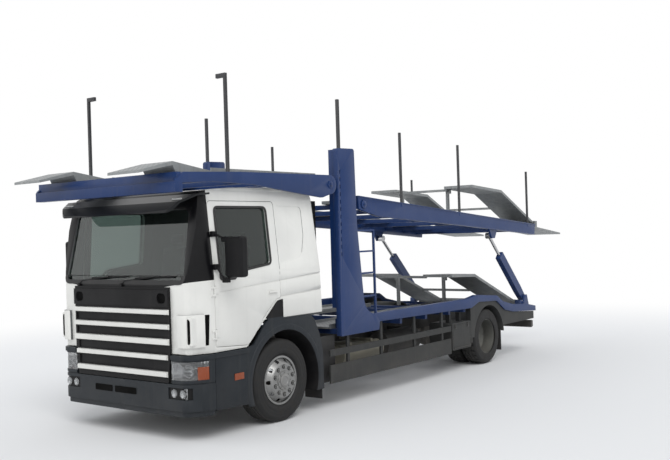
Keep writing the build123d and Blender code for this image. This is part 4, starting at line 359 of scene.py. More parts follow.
cell_x, cell_y = to_centre(place_x), to_centre(place_y)
squares = wires.math("ADD", wires.math("MULTIPLY", cell_x, cell_x), wires.math("MULTIPLY", cell_y, cell_y))
spread_out = wires.math("SQRT", squares)
facing_up = wires.ramp(wires.split(wires.node("ShaderNodeNewGeometry").outputs["Normal"])["Z"], 0.6, 0.8)
hole = wires.math("MULTIPLY", wires.ramp(spread_out, *HOLE_R), facing_up)
ring = wires.math("MULTIPLY", wires.ramp(spread_out, *RING_R), facing_up)
height = wires.math("SUBTRACT", ring, wires.math("MULTIPLY", hole, 1.6))
wires.tree.links.new(hole, result["Hole Shade"])
wires.tree.links.new(wires.bump(height, given["Strength"], 0.004), result["Normal"])

# %% [markdown]
# Galvanised steel shows zinc crystals: flat patches of slightly different grey. Plain noise has no
# edges between its greys; Voronoi cells do, and give each patch its own shade. Noise then adds the
# white bloom of weathered zinc.

# %% Effect: zinc crystals
wires, given, result, ZINC_CRYSTALS = effect_group(
    "zinc_crystals",
    [("Color", "Color", (0.4, 0.42, 0.43, 1)), ("Bloom Color", "Color", (0.6, 0.6, 0.58, 1))],
    [("Color", "Color")])
point = wires.where()
cells = wires.node("ShaderNodeTexVoronoi", [("Vector", point), ("Scale", 34.0)])
shade = wires.split(cells.outputs["Color"])["X"]
bloom = wires.ramp(wires.noise(point, 5.0, 7.0, 0.7), 0.45, 0.75)
darker = wires.mix(wires.math("MULTIPLY", shade, 0.35), given["Color"], (0.22, 0.23, 0.24, 1))
bloomed = wires.mix(wires.math("MULTIPLY", bloom, 0.55), darker, given["Bloom Color"])
wires.tree.links.new(bloomed, result["Color"])

# %% [markdown]
# Seat cloth is a plain weave: two sets of threads that pass over each other. Modelled threads would
# be millions of faces. Two sine waves at right angles give the height of the threads and a faint
# darker line between them, which is painted shade.

# %% Effect: woven cloth
wires, given, result, WOVEN_CLOTH = effect_group(
    "woven_cloth", [("Thread Pitch", "Float", 0.004), ("Strength", "Float", 0.5)],
    [("Height", "Float"), ("Normal", "Vector")])
turns = wires.math("DIVIDE", 2 * pi, given["Thread Pitch"])
weave_x, weave_y, weave_z = (wires.split(wires.where())[axis] for axis in ("X", "Y", "Z"))
warp = wires.math("SINE", wires.math("MULTIPLY", weave_x, turns))
weft = wires.math("SINE", wires.math("MULTIPLY", wires.math("ADD", weave_y, weave_z), turns))
threads = wires.math("MULTIPLY", wires.math("MULTIPLY", warp, weft), 0.5)
wires.tree.links.new(wires.math("ADD", threads, 0.5), result["Height"])
wires.tree.links.new(wires.bump(threads, given["Strength"], 0.001), result["Normal"])


# %% [markdown]
# A finish is one material: its plain values sit on the Principled shader itself, and the groups
# feed only what varies over the surface. A short class opens a material and places groups in it.
# One recipe serves every paint and plastic, because they differ only in colour, gloss and grain.


# %% A finish and its groups
class Finish(Wires):
    """One material with its Principled shader; fixed values go straight onto the shader."""

    def __init__(self, name, **fixed):
        self.material = bpy.data.materials.new(name)
        self.material.use_nodes = True
        super().__init__(self.material.node_tree)
        self.shader = self.tree.nodes["Principled BSDF"]
        for key, value in fixed.items():
            self.shader.inputs[key.replace("_", " ")].default_value = value

    def filled(self, tree, values):
        """One effect group with its values."""
        made = self.node("ShaderNodeGroup", node_tree=tree)
        for key, value in values.items():
            if isinstance(value, bpy.types.NodeSocket):
                self.tree.links.new(value, made.inputs[key])
            else:
                made.inputs[key].default_value = value
        return made

    def feed(self, **sockets):
        """Links sockets to the shader's inputs of the same names."""
        for key, socket in sockets.items():
            self.tree.links.new(socket, self.shader.inputs[key.replace("_", " ")])


def rgba(red, green, blue):
    return (red, green, blue, 1.0)


FILM_COLOR, BARE_METAL = rgba(0.16, 0.145, 0.125), rgba(0.2, 0.19, 0.18)
# Sun-bleached patches are lighter by this factor and this much
BLEACH, BLEACH_LIFT = 1.12, 0.012


def painted(name, color, roughness=0.3, coat=0.0, film=0.35, fade=1.6, streaks=0.1, wear=0.0, grain=0.04,
            scale=260.0, wavy=0.05, metallic=0.0, patchy=0.12, gloss=0.5):
    """Paint or plastic with its grain, worn edges and road film."""
    finish = Finish(name, Metallic=metallic, Coat_Weight=coat, Coat_Roughness=0.08, Specular_IOR_Level=gloss)
    shade = finish.noise(finish.where(), 1.7, 5.0, 0.6)
    bleached = tuple(min(1.0, part * BLEACH + BLEACH_LIFT) for part in color)
    patches_mask = finish.math("MULTIPLY", finish.ramp(shade, 0.35, 0.7), patchy * 4, clamp=True)
    base = finish.mix(patches_mask, rgba(*color), rgba(*bleached))
    if wear:
        worn = finish.filled(EDGE_WEAR, {"Color": base, "Bare Color": BARE_METAL, "Amount": wear})
        base = worn.outputs["Color"]
    dusty = finish.filled(ROAD_FILM, {"Color": base, "Film Color": FILM_COLOR, "Roughness": roughness,
                                      "Amount": film, "Streaks": streaks, "Fade Height": fade})
    skin = finish.filled(SURFACE_GRAIN, {"Scale": scale, "Strength": grain, "Waviness": wavy})
    finish.feed(Base_Color=dusty.outputs["Color"], Roughness=dusty.outputs["Roughness"],
                Normal=skin.outputs["Normal"])
    return finish.material


print("one recipe for paints and plastics")

# %% [markdown]
# The cab is white with a clear coat, the carrier body dark blue, the bumper and skirts dark grey-blue
# plastic, and the chassis black. Colours are linear values read against the render, and dark
# plastics get a lower specular level, because a white sky would make them grey.

# %% Paints and plastics
CAB_PAINT = painted("cab_paint", (0.73, 0.725, 0.69), 0.28, coat=0.6, film=0.22, fade=1.9, streaks=0.05,
                    wavy=0.03)
SCREEN_BLACK = painted("screen_black", (0.004, 0.004, 0.005), 0.3, film=0.03, streaks=0.0, wavy=0.02,
                       gloss=0.2)
CAB_TRIM = painted("cab_trim", (0.11, 0.115, 0.115), 0.6, film=0.0, streaks=0.0, grain=0.4, scale=380.0)
BODY_PAINT = painted("body_paint", (0.007, 0.030, 0.118), 0.38, film=0.16, fade=1.8, streaks=0.08, wear=0.5,
                     patchy=0.15, gloss=0.3)
FRAME_PAINT = painted("frame_paint", (0.02, 0.021, 0.023), 0.5, film=0.6, fade=1.3, wear=0.3, gloss=0.3)
BUMPER_PLASTIC = painted("bumper_plastic", (0.010, 0.014, 0.019), 0.46, film=0.14, fade=1.3, streaks=0.06,
                         grain=0.3, scale=420.0, gloss=0.25)
DARK_PLASTIC = painted("dark_plastic", (0.005, 0.005, 0.006), 0.48, film=0.05, fade=2.2, streaks=0.03,
                       grain=0.25, scale=480.0, gloss=0.16)
VISOR_PLASTIC = painted("visor_plastic", (0.007, 0.008, 0.010), 0.30, film=0.02, streaks=0.0, wavy=0.02,
                        grain=0.04, gloss=0.25)
# Nearly black and matt: painted shade for slots, recesses and strips that the mesh doesn't cut
HOLLOW_SHADE = painted("hollow_shade", (0.002, 0.002, 0.002), 0.9, film=0.03, streaks=0.0, grain=0.0,
                       gloss=0.05)
DASH_PLASTIC = painted("dash_plastic", (0.035, 0.036, 0.04), 0.62, film=0.0, streaks=0.0, grain=0.5,
                       scale=380.0)
GUARD_PAINT = painted("guard_paint", (0.021, 0.023, 0.024), 0.5, film=0.28, fade=1.3, wear=0.35, gloss=0.22)
TANK_PAINT = painted("tank_paint", (0.24, 0.225, 0.175), 0.45, film=0.6, fade=1.3, wear=0.2, gloss=0.3)
WHEEL_PAINT = painted("wheel_paint", (0.27, 0.272, 0.27), 0.3, film=0.4, fade=1.1, metallic=0.75,
                      streaks=0.1, wear=0.25)
# The rear rims take a darker, less metallic copy of the wheel paint: painted shade, with more road film
REAR_WHEEL_SHADED = painted("rear_wheel_shaded_paint", (0.085, 0.088, 0.08), 0.42, film=0.5, fade=1.1, metallic=0.3,
                           streaks=0.1, wear=0.2)
CAST_METAL = painted("cast_metal", (0.06, 0.058, 0.056), 0.68, film=0.8, fade=1.4, grain=0.8, scale=90.0)
STAKE_PAINT = painted("stake_paint", (0.016, 0.017, 0.02), 0.45, film=0.2, fade=3.0, streaks=0.1, wear=0.4)
RUBBER = painted("rubber", (0.011, 0.011, 0.012), 0.62, film=0.1, fade=3.0, grain=0.3, scale=300.0)
print("materials so far", len(bpy.data.materials))

# %% [markdown]
# Runways, ramps and steps are steel that was dipped in zinc, and the struts' rods are bright and oiled.
# A picture of zinc would repeat along ten metres of deck; the crystals effect doesn't. The finish is
# only half metallic, because weathered zinc is dull. On runways it adds the pressed rings.


# %% Zinc and steel
def zinc(name, pressed=False):
    """Galvanised steel, plain or pressed with rings."""
    finish = Finish(name, Metallic=0.55)
    crystals = finish.filled(ZINC_CRYSTALS, {"Color": rgba(0.27, 0.285, 0.29),
                                             "Bloom Color": rgba(0.45, 0.45, 0.43)})
    base = crystals.outputs["Color"]
    # Pressed plates have holes only as bumps; their near-black colour is painted shade seen through them
    plate = finish.filled(PRESSED_PLATE, {"Pitch": 0.075}) if pressed else None
    if pressed:
        base = finish.mix(plate.outputs["Hole Shade"], base, rgba(0.01, 0.01, 0.011))
    dusty = finish.filled(ROAD_FILM, {"Color": base, "Film Color": rgba(0.11, 0.1, 0.09), "Roughness": 0.5,
                                      "Amount": 0.35, "Streaks": 0.3, "Fade Height": 3.4})
    finish.feed(Base_Color=dusty.outputs["Color"], Roughness=dusty.outputs["Roughness"])
    if pressed:
        finish.feed(Normal=plate.outputs["Normal"])
    else:
        skin = finish.filled(SURFACE_GRAIN, {"Scale": 120.0, "Strength": 0.2, "Waviness": 0.1})
        finish.feed(Normal=skin.outputs["Normal"])
    return finish.material


DECK_ZINC = zinc("deck_zinc")
RUNWAY_ZINC = zinc("runway_zinc", pressed=True)
BRIGHT_STEEL = painted("bright_steel", (0.55, 0.55, 0.56), 0.18, film=0.15, fade=3.0, streaks=0.15,
                       metallic=1.0, grain=0.02, wavy=0.0)
print("zinc and steel", DECK_ZINC.name, RUNWAY_ZINC.name, BRIGHT_STEEL.name)

# %% [markdown]
# Tyre rubber is near black, dusty on the flanks and greyer where the road has scrubbed the tread.
# Two materials would leave a hard line at the shoulder. Here the radius from the axle tells tread
# from flank, so the finish takes the axle's height and place.


# %% Tyre rubber
def tyre_rubber(name, axle_y, axle_z, tread_radius):
    """The place is counted from the axle, so the grey scrubbed band lies on the tread."""
    finish = Finish(name, Specular_IOR_Level=0.35)
    from_axle = finish.node("ShaderNodeVectorMath", [(0, finish.where()), (1, (0, axle_y, axle_z))],
                            operation="SUBTRACT").outputs[0]
    flat = finish.stretched(from_axle, (0, 1, 1))
    radius = finish.node("ShaderNodeVectorMath", [(0, flat)], operation="LENGTH").outputs["Value"]
    tread = finish.ramp(radius, tread_radius - 0.012, tread_radius - 0.002)
    dust = finish.ramp(finish.noise(finish.where(), 9.0, 6.0, 0.65), 0.4, 0.75)
    half_dust = finish.math("MULTIPLY", dust, 0.5)
    flank = finish.mix(half_dust, rgba(0.010, 0.010, 0.0105), rgba(0.038, 0.035, 0.031))
    scrubbed = finish.math("MULTIPLY", tread, 0.8)
    finish.feed(Base_Color=finish.mix(scrubbed, flank, rgba(0.036, 0.035, 0.033)))
    finish.feed(Roughness=finish.ramp(dust, 0.0, 1.0, 0.62, 0.86))
    skin = finish.filled(SURFACE_GRAIN, {"Scale": 500.0, "Strength": 0.25, "Waviness": 0.0})
    finish.feed(Normal=skin.outputs["Normal"])
    return finish.material


print("tyre finish ready")

# %% [markdown]
# Cab glass is lightly tinted green-grey. Lamp lenses are clear mouldings with a film of dust;
# coloured lenses are the same moulding in amber or red. The panes are real solids with two faces, so
# plain transmission bends light rightly and no trick with transparency is needed. Cab glass has no
# roughness at all, because rough glass over a dark cab takes very many samples.


# %% Glass and lenses
def pane(name, tint, roughness, dust, transmission=0.9, ribs=0.0):
    """Glass or lens; ribs is the pitch of its upright flutes."""
    finish = Finish(name, IOR=1.45, Transmission_Weight=transmission, Roughness=roughness)
    film_mask = finish.ramp(finish.noise(finish.where(), 3.0, 6.0, 0.6), 0.4, 0.8)
    dusty = finish.mix(finish.math("MULTIPLY", film_mask, dust), rgba(*tint), rgba(0.5, 0.5, 0.47))
    finish.feed(Base_Color=dusty)
    if ribs:
        lines = finish.math("SINE", finish.math("MULTIPLY", finish.split(finish.where())["X"], 2 * pi / ribs))
        finish.feed(Normal=finish.bump(lines, 0.5, 0.002))
    return finish.material


CAB_GLASS = pane("cab_glass", (0.26, 0.32, 0.3), 0.0, 0.05, transmission=0.97)
CLEAR_LENS = pane("clear_lens", (0.72, 0.73, 0.74), 0.03, 0.1, ribs=0.018)
AMBER_LENS = pane("amber_lens", (0.32, 0.062, 0.014), 0.15, 0.1, transmission=0.25, ribs=0.012)
RED_LENS = pane("red_lens", (0.34, 0.010, 0.01), 0.15, 0.1, transmission=0.25, ribs=0.012)
MIRROR_FACE = painted("mirror_face", (0.8, 0.82, 0.83), 0.05, film=0.02, streaks=0.05, metallic=1.0,
                      grain=0.0, wavy=0.0)
REFLECTOR = painted("reflector", (0.46, 0.465, 0.47), 0.16, film=0.0, streaks=0.0, metallic=1.0, grain=0.0,
                    wavy=0.0)
PLATE_WHITE = painted("plate_white", (0.72, 0.72, 0.7), 0.4, film=0.3, fade=1.0)
print("materials so far", len(bpy.data.materials))

# %% [markdown]
# The CAD nodes stay where they are and get their finish here. Each one also gets a small bevel as a
# modifier, because a sheared or welded steel edge always catches a thin line of light. Rounding every
# edge in the CAD would do that too, but it would multiply the faces that the physics has to carry.

# %% Finishes on the CAD nodes
NODE_FINISH = {
    "frame_paint": FRAME_PAINT, "cast_metal": CAST_METAL, "cab_paint": CAB_PAINT, "body_paint": BODY_PAINT,
    "bumper_plastic": BUMPER_PLASTIC, "grille_plastic": DARK_PLASTIC, "visor_plastic": VISOR_PLASTIC,
    "glass": CAB_GLASS, "lamp_lens": CLEAR_LENS, "amber_lens": AMBER_LENS, "dash_plastic": DASH_PLASTIC,
    "mirror_plastic": DARK_PLASTIC, "deck_zinc": DECK_ZINC, "guard_paint": GUARD_PAINT,
    "tank_paint": TANK_PAINT, "steel": BRIGHT_STEEL, "wheel_paint": WHEEL_PAINT, "tyre": RUBBER,
    "seat_fabric": DASH_PLASTIC,
}
OWN_FINISH = {"lower_runways": RUNWAY_ZINC, "upper_runways": RUNWAY_ZINC, "header_trays": RUNWAY_ZINC,
              "upper_ramp": RUNWAY_ZINC, "lower_ramp": RUNWAY_ZINC, "ladder": BODY_PAINT,
              "rims_rear_left": REAR_WHEEL_SHADED, "rims_rear_right": REAR_WHEEL_SHADED}
# Bevel widths in metres; glass and bare rods have none
NODE_BEVEL = {"cab_paint": 0.004, "body_paint": 0.005, "bumper_plastic": 0.008, "frame_paint": 0.004,
              "cast_metal": 0.006, "deck_zinc": 0.003, "guard_paint": 0.006, "visor_plastic": 0.006,
              "mirror_plastic": 0.012, "dash_plastic": 0.012, "grille_plastic": 0.004, "tank_paint": 0.012,
              "wheel_paint": 0.003}
NODE_SLOT = {part["node"]: part["material_slot"] for part in frame["record"]["subparts"]}
WELD_UP_TO = 0.0001


def soft_edges(obj, width, angle):
    """Small round on every edge that is sharper than the angle, in degrees."""
    soften = obj.modifiers.new("soft_edges", "BEVEL")
    soften.width, soften.segments = width, 2
    soften.limit_method, soften.angle_limit = "ANGLE", radians(angle)
    soften.harden_normals = True


def soften_node(obj, slot_name):
    """The bevel that goes with a CAD node's slot, on welded vertices."""
    if slot_name in NODE_BEVEL:
        obj.modifiers.new("weld", "WELD").merge_threshold = WELD_UP_TO
        soft_edges(obj, NODE_BEVEL[slot_name], 38)


for node_name, obj in frame["nodes"].items():
    obj.data.materials.clear()
    obj.data.materials.append(OWN_FINISH.get(node_name, NODE_FINISH[NODE_SLOT[node_name]]))
    soften_node(obj, NODE_SLOT[node_name])
print("finished", len(frame["nodes"]), "CAD nodes")

# %% [markdown]
# Small parts are drawn in mesh code: boxes, round bars and turned forms that are added to one mesh,
# so that a ring of nuts or a set of steps is one piece. Blender's own primitives and modifiers could
# make them one by one, but rows of numbers keep many alike parts short and exact.


# %% Mesh helpers
def facing_along(centre, axis):
    """Matrix that moves to centre and turns Z along the axis."""
    return Matrix.Translation(centre) @ axis.to_track_quat("Z", "Y").to_matrix().to_4x4()


class Shape:
    """A mesh in the making, in the truck's own coordinates."""

    def __init__(self):
        self.mesh = bmesh.new()

    def box(self, corner, other, turn=None):
        """Block between two corners, turned about its middle."""
        low, high = Vector(map(min, corner, other)), Vector(map(max, corner, other))
        scaled = (turn or Matrix()) @ Matrix.Diagonal((*(high - low), 1))
        bmesh.ops.create_cube(self.mesh, size=1, matrix=Matrix.Translation((low + high) / 2) @ scaled)
        return self

    def bar(self, start, end, radius, end_radius=None, sides=14):
        """Round bar, or a cone where end_radius differs."""
        start, end = Vector(start), Vector(end)
        bmesh.ops.create_cone(self.mesh, cap_ends=True, segments=sides, radius1=radius,
                              radius2=radius if end_radius is None else end_radius,
                              depth=(end - start).length, matrix=facing_along((start + end) / 2, end - start))
        return self

    def pipe(self, points, radius, sides=10):
        """Round bar through points, with a ball at each bend."""
        for start, end in zip(points, points[1:]):
            self.bar(start, end, radius, sides=sides)
        for point in points[1:-1]:
            bmesh.ops.create_icosphere(self.mesh, subdivisions=2, radius=radius * 1.02,
                                       matrix=Matrix.Translation(point))
        return self

    def turned(self, centre, axis, profile, sides=48):
        """Rows of (along the axis, radius), turned about the axis through centre."""
        matrix = facing_along(centre, Vector(axis))
        rings = []
        for along, radius in profile:
            count = sides if radius else 1
            rings.append([self.mesh.verts.new(matrix @ Vector((radius * cos(2 * pi * i / sides),
                                                               radius * sin(2 * pi * i / sides), along)))
                          for i in range(count)])
        self.skin(rings, True)
        return self

    def skin(self, rings, closed):
        """Faces between rows of vertices; a row of one vertex closes to a point."""
        for ring, after in zip(rings, rings[1:]):
            count = max(len(ring), len(after))
            for i in range(count if closed else count - 1):
                corners = [ring[i % len(ring)], ring[(i + 1) % len(ring)], after[(i + 1) % len(after)],
                           after[i % len(after)]]
                self.mesh.faces.new(list(dict.fromkeys(corners)))
        return self

    def grid(self, rows, closed=False):
        """Faces between rows of points."""
        return self.skin([[self.mesh.verts.new(point) for point in row] for row in rows], closed)

    def nuts(self, places, facing, radius, height):
        """Hexagon nuts on washers, their faces along facing."""
        facing = Vector(facing).normalized()
        for place in places:
            place = Vector(place)
            self.bar(place, place + facing * height * 0.25, radius * 1.3, sides=14)
            self.bar(place + facing * height * 0.25, place + facing * height, radius, radius * 0.92, sides=6)
        return self

    def piece(self, name, body, slot, finish, *replaced, bevel=0.0, sharp=38):
        """Ends the mesh and makes it a piece of the scene on its body."""
        data = bpy.data.meshes.new(name)
        bmesh.ops.recalc_face_normals(self.mesh, faces=self.mesh.faces)
        self.mesh.to_mesh(data)
        self.mesh.free()
        obj = bpy.data.objects.new(name, data)
        return settle(obj, body, slot, finish, *replaced, bevel=bevel, sharp=sharp)


def settle(obj, body, slot, finish, *replaced, bevel=0.0, sharp=38):
    """Gives a new object its shading, finish and body."""
    if not obj.users_collection:
        scene.collection.objects.link(obj)
    data = obj.data
    if finish is not None:
        data.materials.append(finish)
    data.polygons.foreach_set("use_smooth", [True] * len(data.polygons))
    data.set_sharp_from_angle(angle=radians(sharp))
    if bevel:
        soft_edges(obj, bevel, 40)
    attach(obj, body)
    if replaced:
        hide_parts(*replaced)
    return obj


print("mesh helpers ready")

# %% [markdown]
# Seals, handles, lamps and the painted shade of slots lie on curved panels. A shrinkwrap could press them
# on, but it bends their sides too. Here rays are shot at the CAD surface from outside, and each point is
# set where its ray lands, a little proud, so that every part is seated without any fitting.

# %% Helpers that lay parts on a surface
# Rays that land farther away than this have missed the panel; a seal's foot is sunk this deep
RAY_REACH, FOOT_DEPTH = 1.2, 0.004


def surface_of(*nodes):
    """Tree of the nodes' faces, to shoot rays at."""
    merged = bmesh.new()
    for node in nodes:
        merged.from_mesh(frame["nodes"][node].data)
    return BVHTree.FromBMesh(merged)


def rounded(corners, radii, steps=6):
    """Closed outline of 2D points with its corners rounded."""
    points = []
    for i, (corner, radius) in enumerate(zip(corners, radii)):
        here, before, after = Vector(corner), Vector(corners[i - 1]), Vector(corners[(i + 1) % len(corners)])
        to_before, to_after = (before - here).normalized(), (after - here).normalized()
        half_angle = to_before.angle(to_after) / 2
        reach = min(radius / max(math.tan(half_angle), 0.01), (before - here).length * 0.49,
                    (after - here).length * 0.49)
        ends = (here + to_before * reach, here + to_after * reach)
        for step in range(steps + 1):
            t = step / steps
            points.append(ends[0] * (1 - t) ** 2 + here * 2 * t * (1 - t) + ends[1] * t ** 2)
    return points


def ribbon(shape, outline, lift, direction, surface, inner, outer, thick):
    """Closed band along a 2D outline, laid on the surface that rays from lift along direction meet."""
    direction = Vector(direction)
    rows = [[], [], [], []]
    for i, point in enumerate(outline):
        along = (outline[(i + 1) % len(outline)] - outline[i - 1]).normalized()
        across = Vector((along.y, -along.x))
        edges = (point + across * outer, point - across * inner)
        hits = [surface.ray_cast(lift(edge), direction) for edge in edges]
        depth = next((hit[3] for hit in hits if hit[0] is not None and hit[3] < RAY_REACH), None)
        if depth is None:
            continue
        tops = [lift(edge) + direction * (depth - thick) for edge in edges]
        feet = [lift(edge) + direction * (depth + FOOT_DEPTH) for edge in edges]
        for row, place in zip(rows, (feet[0], tops[0], tops[1], feet[1])):
            row.append(place)
    return shape.grid(rows, True)


def patch(shape, low, high, lift, direction, surface, thick=0.002, slant=0.0, radius=0.012):
    """Nearly black inset of painted shade between two 2D corners, laid on the surface; slant shifts its top along
    the first axis.
    """
    direction, rows = Vector(direction), []
    centre, half = (Vector(low) + Vector(high)) / 2, (Vector(high) - Vector(low)) / 2
    for row in range(13):
        up = half.y * math.sin(radians(90 * (row / 6 - 1)))
        beyond = max(0.0, abs(up) - (half.y - radius))
        reach = half.x - radius + math.sqrt(max(0.0, radius ** 2 - beyond ** 2))
        middle = centre.x + slant * up / (2 * half.y)
        starts = [lift(Vector((middle + share * reach / 3, centre.y + up))) for share in range(-3, 4)]
        depths = [surface.ray_cast(start, direction)[3] for start in starts]
        if None in (depths[0], depths[-1]):
            continue
        for step in range(1, 6):
            between = depths[0] + (depths[-1] - depths[0]) * step / 6
            if depths[step] is None or abs(depths[step] - between) > 0.02:
                depths[step] = between
        rows.append([start + direction * (depth - thick) for start, depth in zip(starts, depths)])
    return shape.grid(rows)


print("surface helpers ready")

# %% [markdown]
# Tyres are the first pieces to model by hand. The section runs from bead to bead; grooves run round
# the tread, and their edges zigzag from segment to segment. On the driving tyres the outer ribs are
# also cut crosswise into blocks. A displaced texture could do this, but the export keeps real grooves
# only when they are geometry. The place and size of each tyre come from its CAD node.

# %% Tyres with their tread
TREAD_STEPS = 224
GROOVE_W, GROOVE_DEPTH, ZIGZAG = 0.011, 0.013, 0.005
# The tread ends this far in from the flanks, and this much lower than its middle
SHOULDER, CROWN = 0.040, 0.005
# Section rows, counted inwards from the tyre's side: the bead by its radius, the flank by its depth
# under the tread
BEAD = ((0.036, 0.288), (0.031, 0.303), (0.022, 0.318), (0.014, 0.322))
FLANK = ((0.008, -0.175), (0.002, -0.150), (0.000, -0.128), (0.0025, -0.122), (0.0005, -0.112),
         (0.002, -0.088), (0.005, -0.066), (0.0035, -0.060), (0.008, -0.044), (0.016, -0.024),
         (0.027, -0.012))


def tyre_section(half, radius, grooves):
    """Rows of (x, radius, zigzag share, block share) from the inner bead to the outer one."""
    flank = [(x, bead_r - radius) for x, bead_r in BEAD] + list(FLANK)
    rows = [(-(half - x), radius + r, 0, 0) for x, r in flank]
    edge = half - SHOULDER
    rows.append((-edge, radius - CROWN, 0, 1))
    for groove in grooves:
        for shift, depth in ((-GROOVE_W / 2, 0), (-GROOVE_W / 2 + 0.0015, 1), (GROOVE_W / 2 - 0.0015, 1),
                             (GROOVE_W / 2, 0)):
            x = groove + shift
            crown = radius - CROWN * (x / edge) ** 2
            rows.append((x, crown - depth * GROOVE_DEPTH, 1, 1 if groove in (grooves[0], grooves[-1]) else 0))
    rows.append((edge, radius - CROWN, 0, 1))
    rows += [(half - x, radius + r, 0, 0) for x, r in reversed(flank)]
    return rows


def add_tyre(shape, centre, half, radius, grooves, block_every):
    """One tyre about an axle along X; block_every is 0 for a plain ribbed tread."""
    rings = []
    for x, r, zigzag, block in tyre_section(half, radius, grooves):
        ring = []
        for step in range(TREAD_STEPS):
            turn = 2 * pi * step / TREAD_STEPS
            wave = abs((step / 7) % 2 - 1) * 2 - 1
            outer_block = block and abs(x) > abs(grooves[0]) - GROOVE_W and r > radius - GROOVE_DEPTH + 0.004
            cut = GROOVE_DEPTH if block_every and outer_block and step % block_every < 2 else 0
            reach = r - cut
            ring.append(centre + Vector((x + zigzag * wave * ZIGZAG, reach * cos(turn), reach * sin(turn))))
        rings.append(ring)
    shape.grid(rings + rings[:1], True)


FRONT_GROOVES = (-0.074, -0.027, 0.027, 0.074)
REAR_GROOVES, REAR_TYRE_W = (-0.062, 0.0, 0.062), 0.295
for side_name, side in SIDES:
    for node, grooves, block_every, twin in ((f"tyre_front_{side_name}", FRONT_GROOVES, 0, False),
                                             (f"tyres_rear_{side_name}", REAR_GROOVES, 8, True)):
        low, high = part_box(node)
        radius, middle = (high.z - low.z) / 2, (low + high) / 2
        tyre_width = REAR_TYRE_W if twin else high.x - low.x
        centres = [(low.x + tyre_width / 2), (high.x - tyre_width / 2)] if twin else [middle.x]
        tyre_shape = Shape()
        for centre_x in centres:
            add_tyre(tyre_shape, Vector((centre_x, middle.y, middle.z)), tyre_width / 2, radius, grooves,
                     block_every)
        rubber = tyre_rubber(f"{node}_rubber", middle.y, middle.z, radius)
        body = f"wheel{'s_rear' if twin else '_front'}_{side_name}"
        tyre_shape.piece(f"{node}_treaded", body, "tyre", rubber, node, sharp=45)
print("tyres", TREAD_STEPS, "steps round")

# %% [markdown]
# A wheel is held by ten nuts, and its hub ends in a cap with small bolts. All sit on the CAD rims, so
# their place comes from the rims' boxes. An array modifier round an empty would repeat a nut too, but
# a list of points gives one mesh that simply rides on the wheel. A valve reaches out of the rear rims.

# %% Wheel nuts, hub caps and valves
NUT_COUNT, NUT_RING_R, REAR_NUT_RING_R = 10, 0.1675, 0.156
CAP_BOLTS, CAP_RING_R, REAR_CAP_RING_R = 8, 0.099, 0.088
# How far the nuts' flange lies inside the front rim's outer face
FLANGE_DEPTH = 0.012
VALVE_R = 0.245
CAP_PROFILE = ((-0.01, 0.0), (-0.01, 0.084), (0.005, 0.084), (0.008, 0.080), (0.008, 0.050), (0.004, 0.045),
               (0.004, 0.0))
WELL_PROFILE = ((0.0005, 0.0), (0.0008, 0.027), (0.004, 0.0275), (0.0042, 0.0225), (0.001, 0.022))
REAR_CAP_PROFILE = ((0, 0.060), (0.008, 0.058), (0.010, 0.030), (0.006, 0.0))


def ring_of(centre, radius, count, first=0.0):
    """Points on a circle about the axle."""
    turns = [2 * pi * (i + first) / count for i in range(count)]
    return [centre + Vector((0, radius * cos(turn), radius * sin(turn))) for turn in turns]


for side_name, side in SIDES:
    outward = Vector((side, 0, 0))
    low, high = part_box(f"rim_front_{side_name}")
    outer = high.x if side > 0 else low.x
    front_centre = Vector((outer, (low.y + high.y) / 2, (low.z + high.z) / 2))
    nut_places = ring_of(front_centre - outward * FLANGE_DEPTH, NUT_RING_R, NUT_COUNT, 0.5)
    hub = Shape().nuts(nut_places, outward, 0.0165, 0.030).turned(front_centre, outward, CAP_PROFILE)
    hub.nuts(ring_of(front_centre, CAP_RING_R, CAP_BOLTS), outward, 0.008, 0.008)
    hub.piece(f"hub_detail_front_{side_name}", f"wheel_front_{side_name}", "wheel_paint", WHEEL_PAINT,
              bevel=0.0015)
    # Each nut sits in a near-black cup in the dark plastic finish: painted shade of the nut's recess in the rim
    well_shades = Shape()
    for nut_place in nut_places:
        well_shades.turned(nut_place, outward, WELL_PROFILE, sides=20)
    well_shades.piece(f"nut_well_shades_front_{side_name}", f"wheel_front_{side_name}", "wheel_paint", DARK_PLASTIC)
    rear_low, rear_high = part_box(f"rims_rear_{side_name}")
    rear_outer = rear_high.x if side > 0 else rear_low.x
    rear_centre = Vector((rear_outer, (rear_low.y + rear_high.y) / 2, (rear_low.z + rear_high.z) / 2))
    twin_middle = Vector(((rear_low.x + rear_high.x) / 2, rear_centre.y, rear_centre.z))
    rear_nuts = ring_of(twin_middle + outward * 0.014, REAR_NUT_RING_R, NUT_COUNT, 0.5)
    rear = Shape().nuts(rear_nuts, outward, 0.0155, 0.032)
    rear.turned(twin_middle + outward * 0.119, outward, REAR_CAP_PROFILE)
    rear.nuts(ring_of(twin_middle + outward * 0.108, REAR_CAP_RING_R, CAP_BOLTS), outward, 0.009, 0.012)
    rear.bar(twin_middle + Vector((side * 0.03, VALVE_R, 0)),
             twin_middle + Vector((side * 0.11, VALVE_R + 0.006, 0)), 0.005)
    rear.piece(f"hub_detail_rear_{side_name}", f"wheels_rear_{side_name}", "wheel_paint", REAR_WHEEL_SHADED,
               bevel=0.0015)
print("nuts per wheel", NUT_COUNT)

# %% [markdown]
# Glass is held by black rubber. Each seal follows the outline of its opening, a few millimetres
# proud of the panel. A curve with a bevel could follow it too, but it wouldn't hug the curved screen;
# the ribbon helper does.

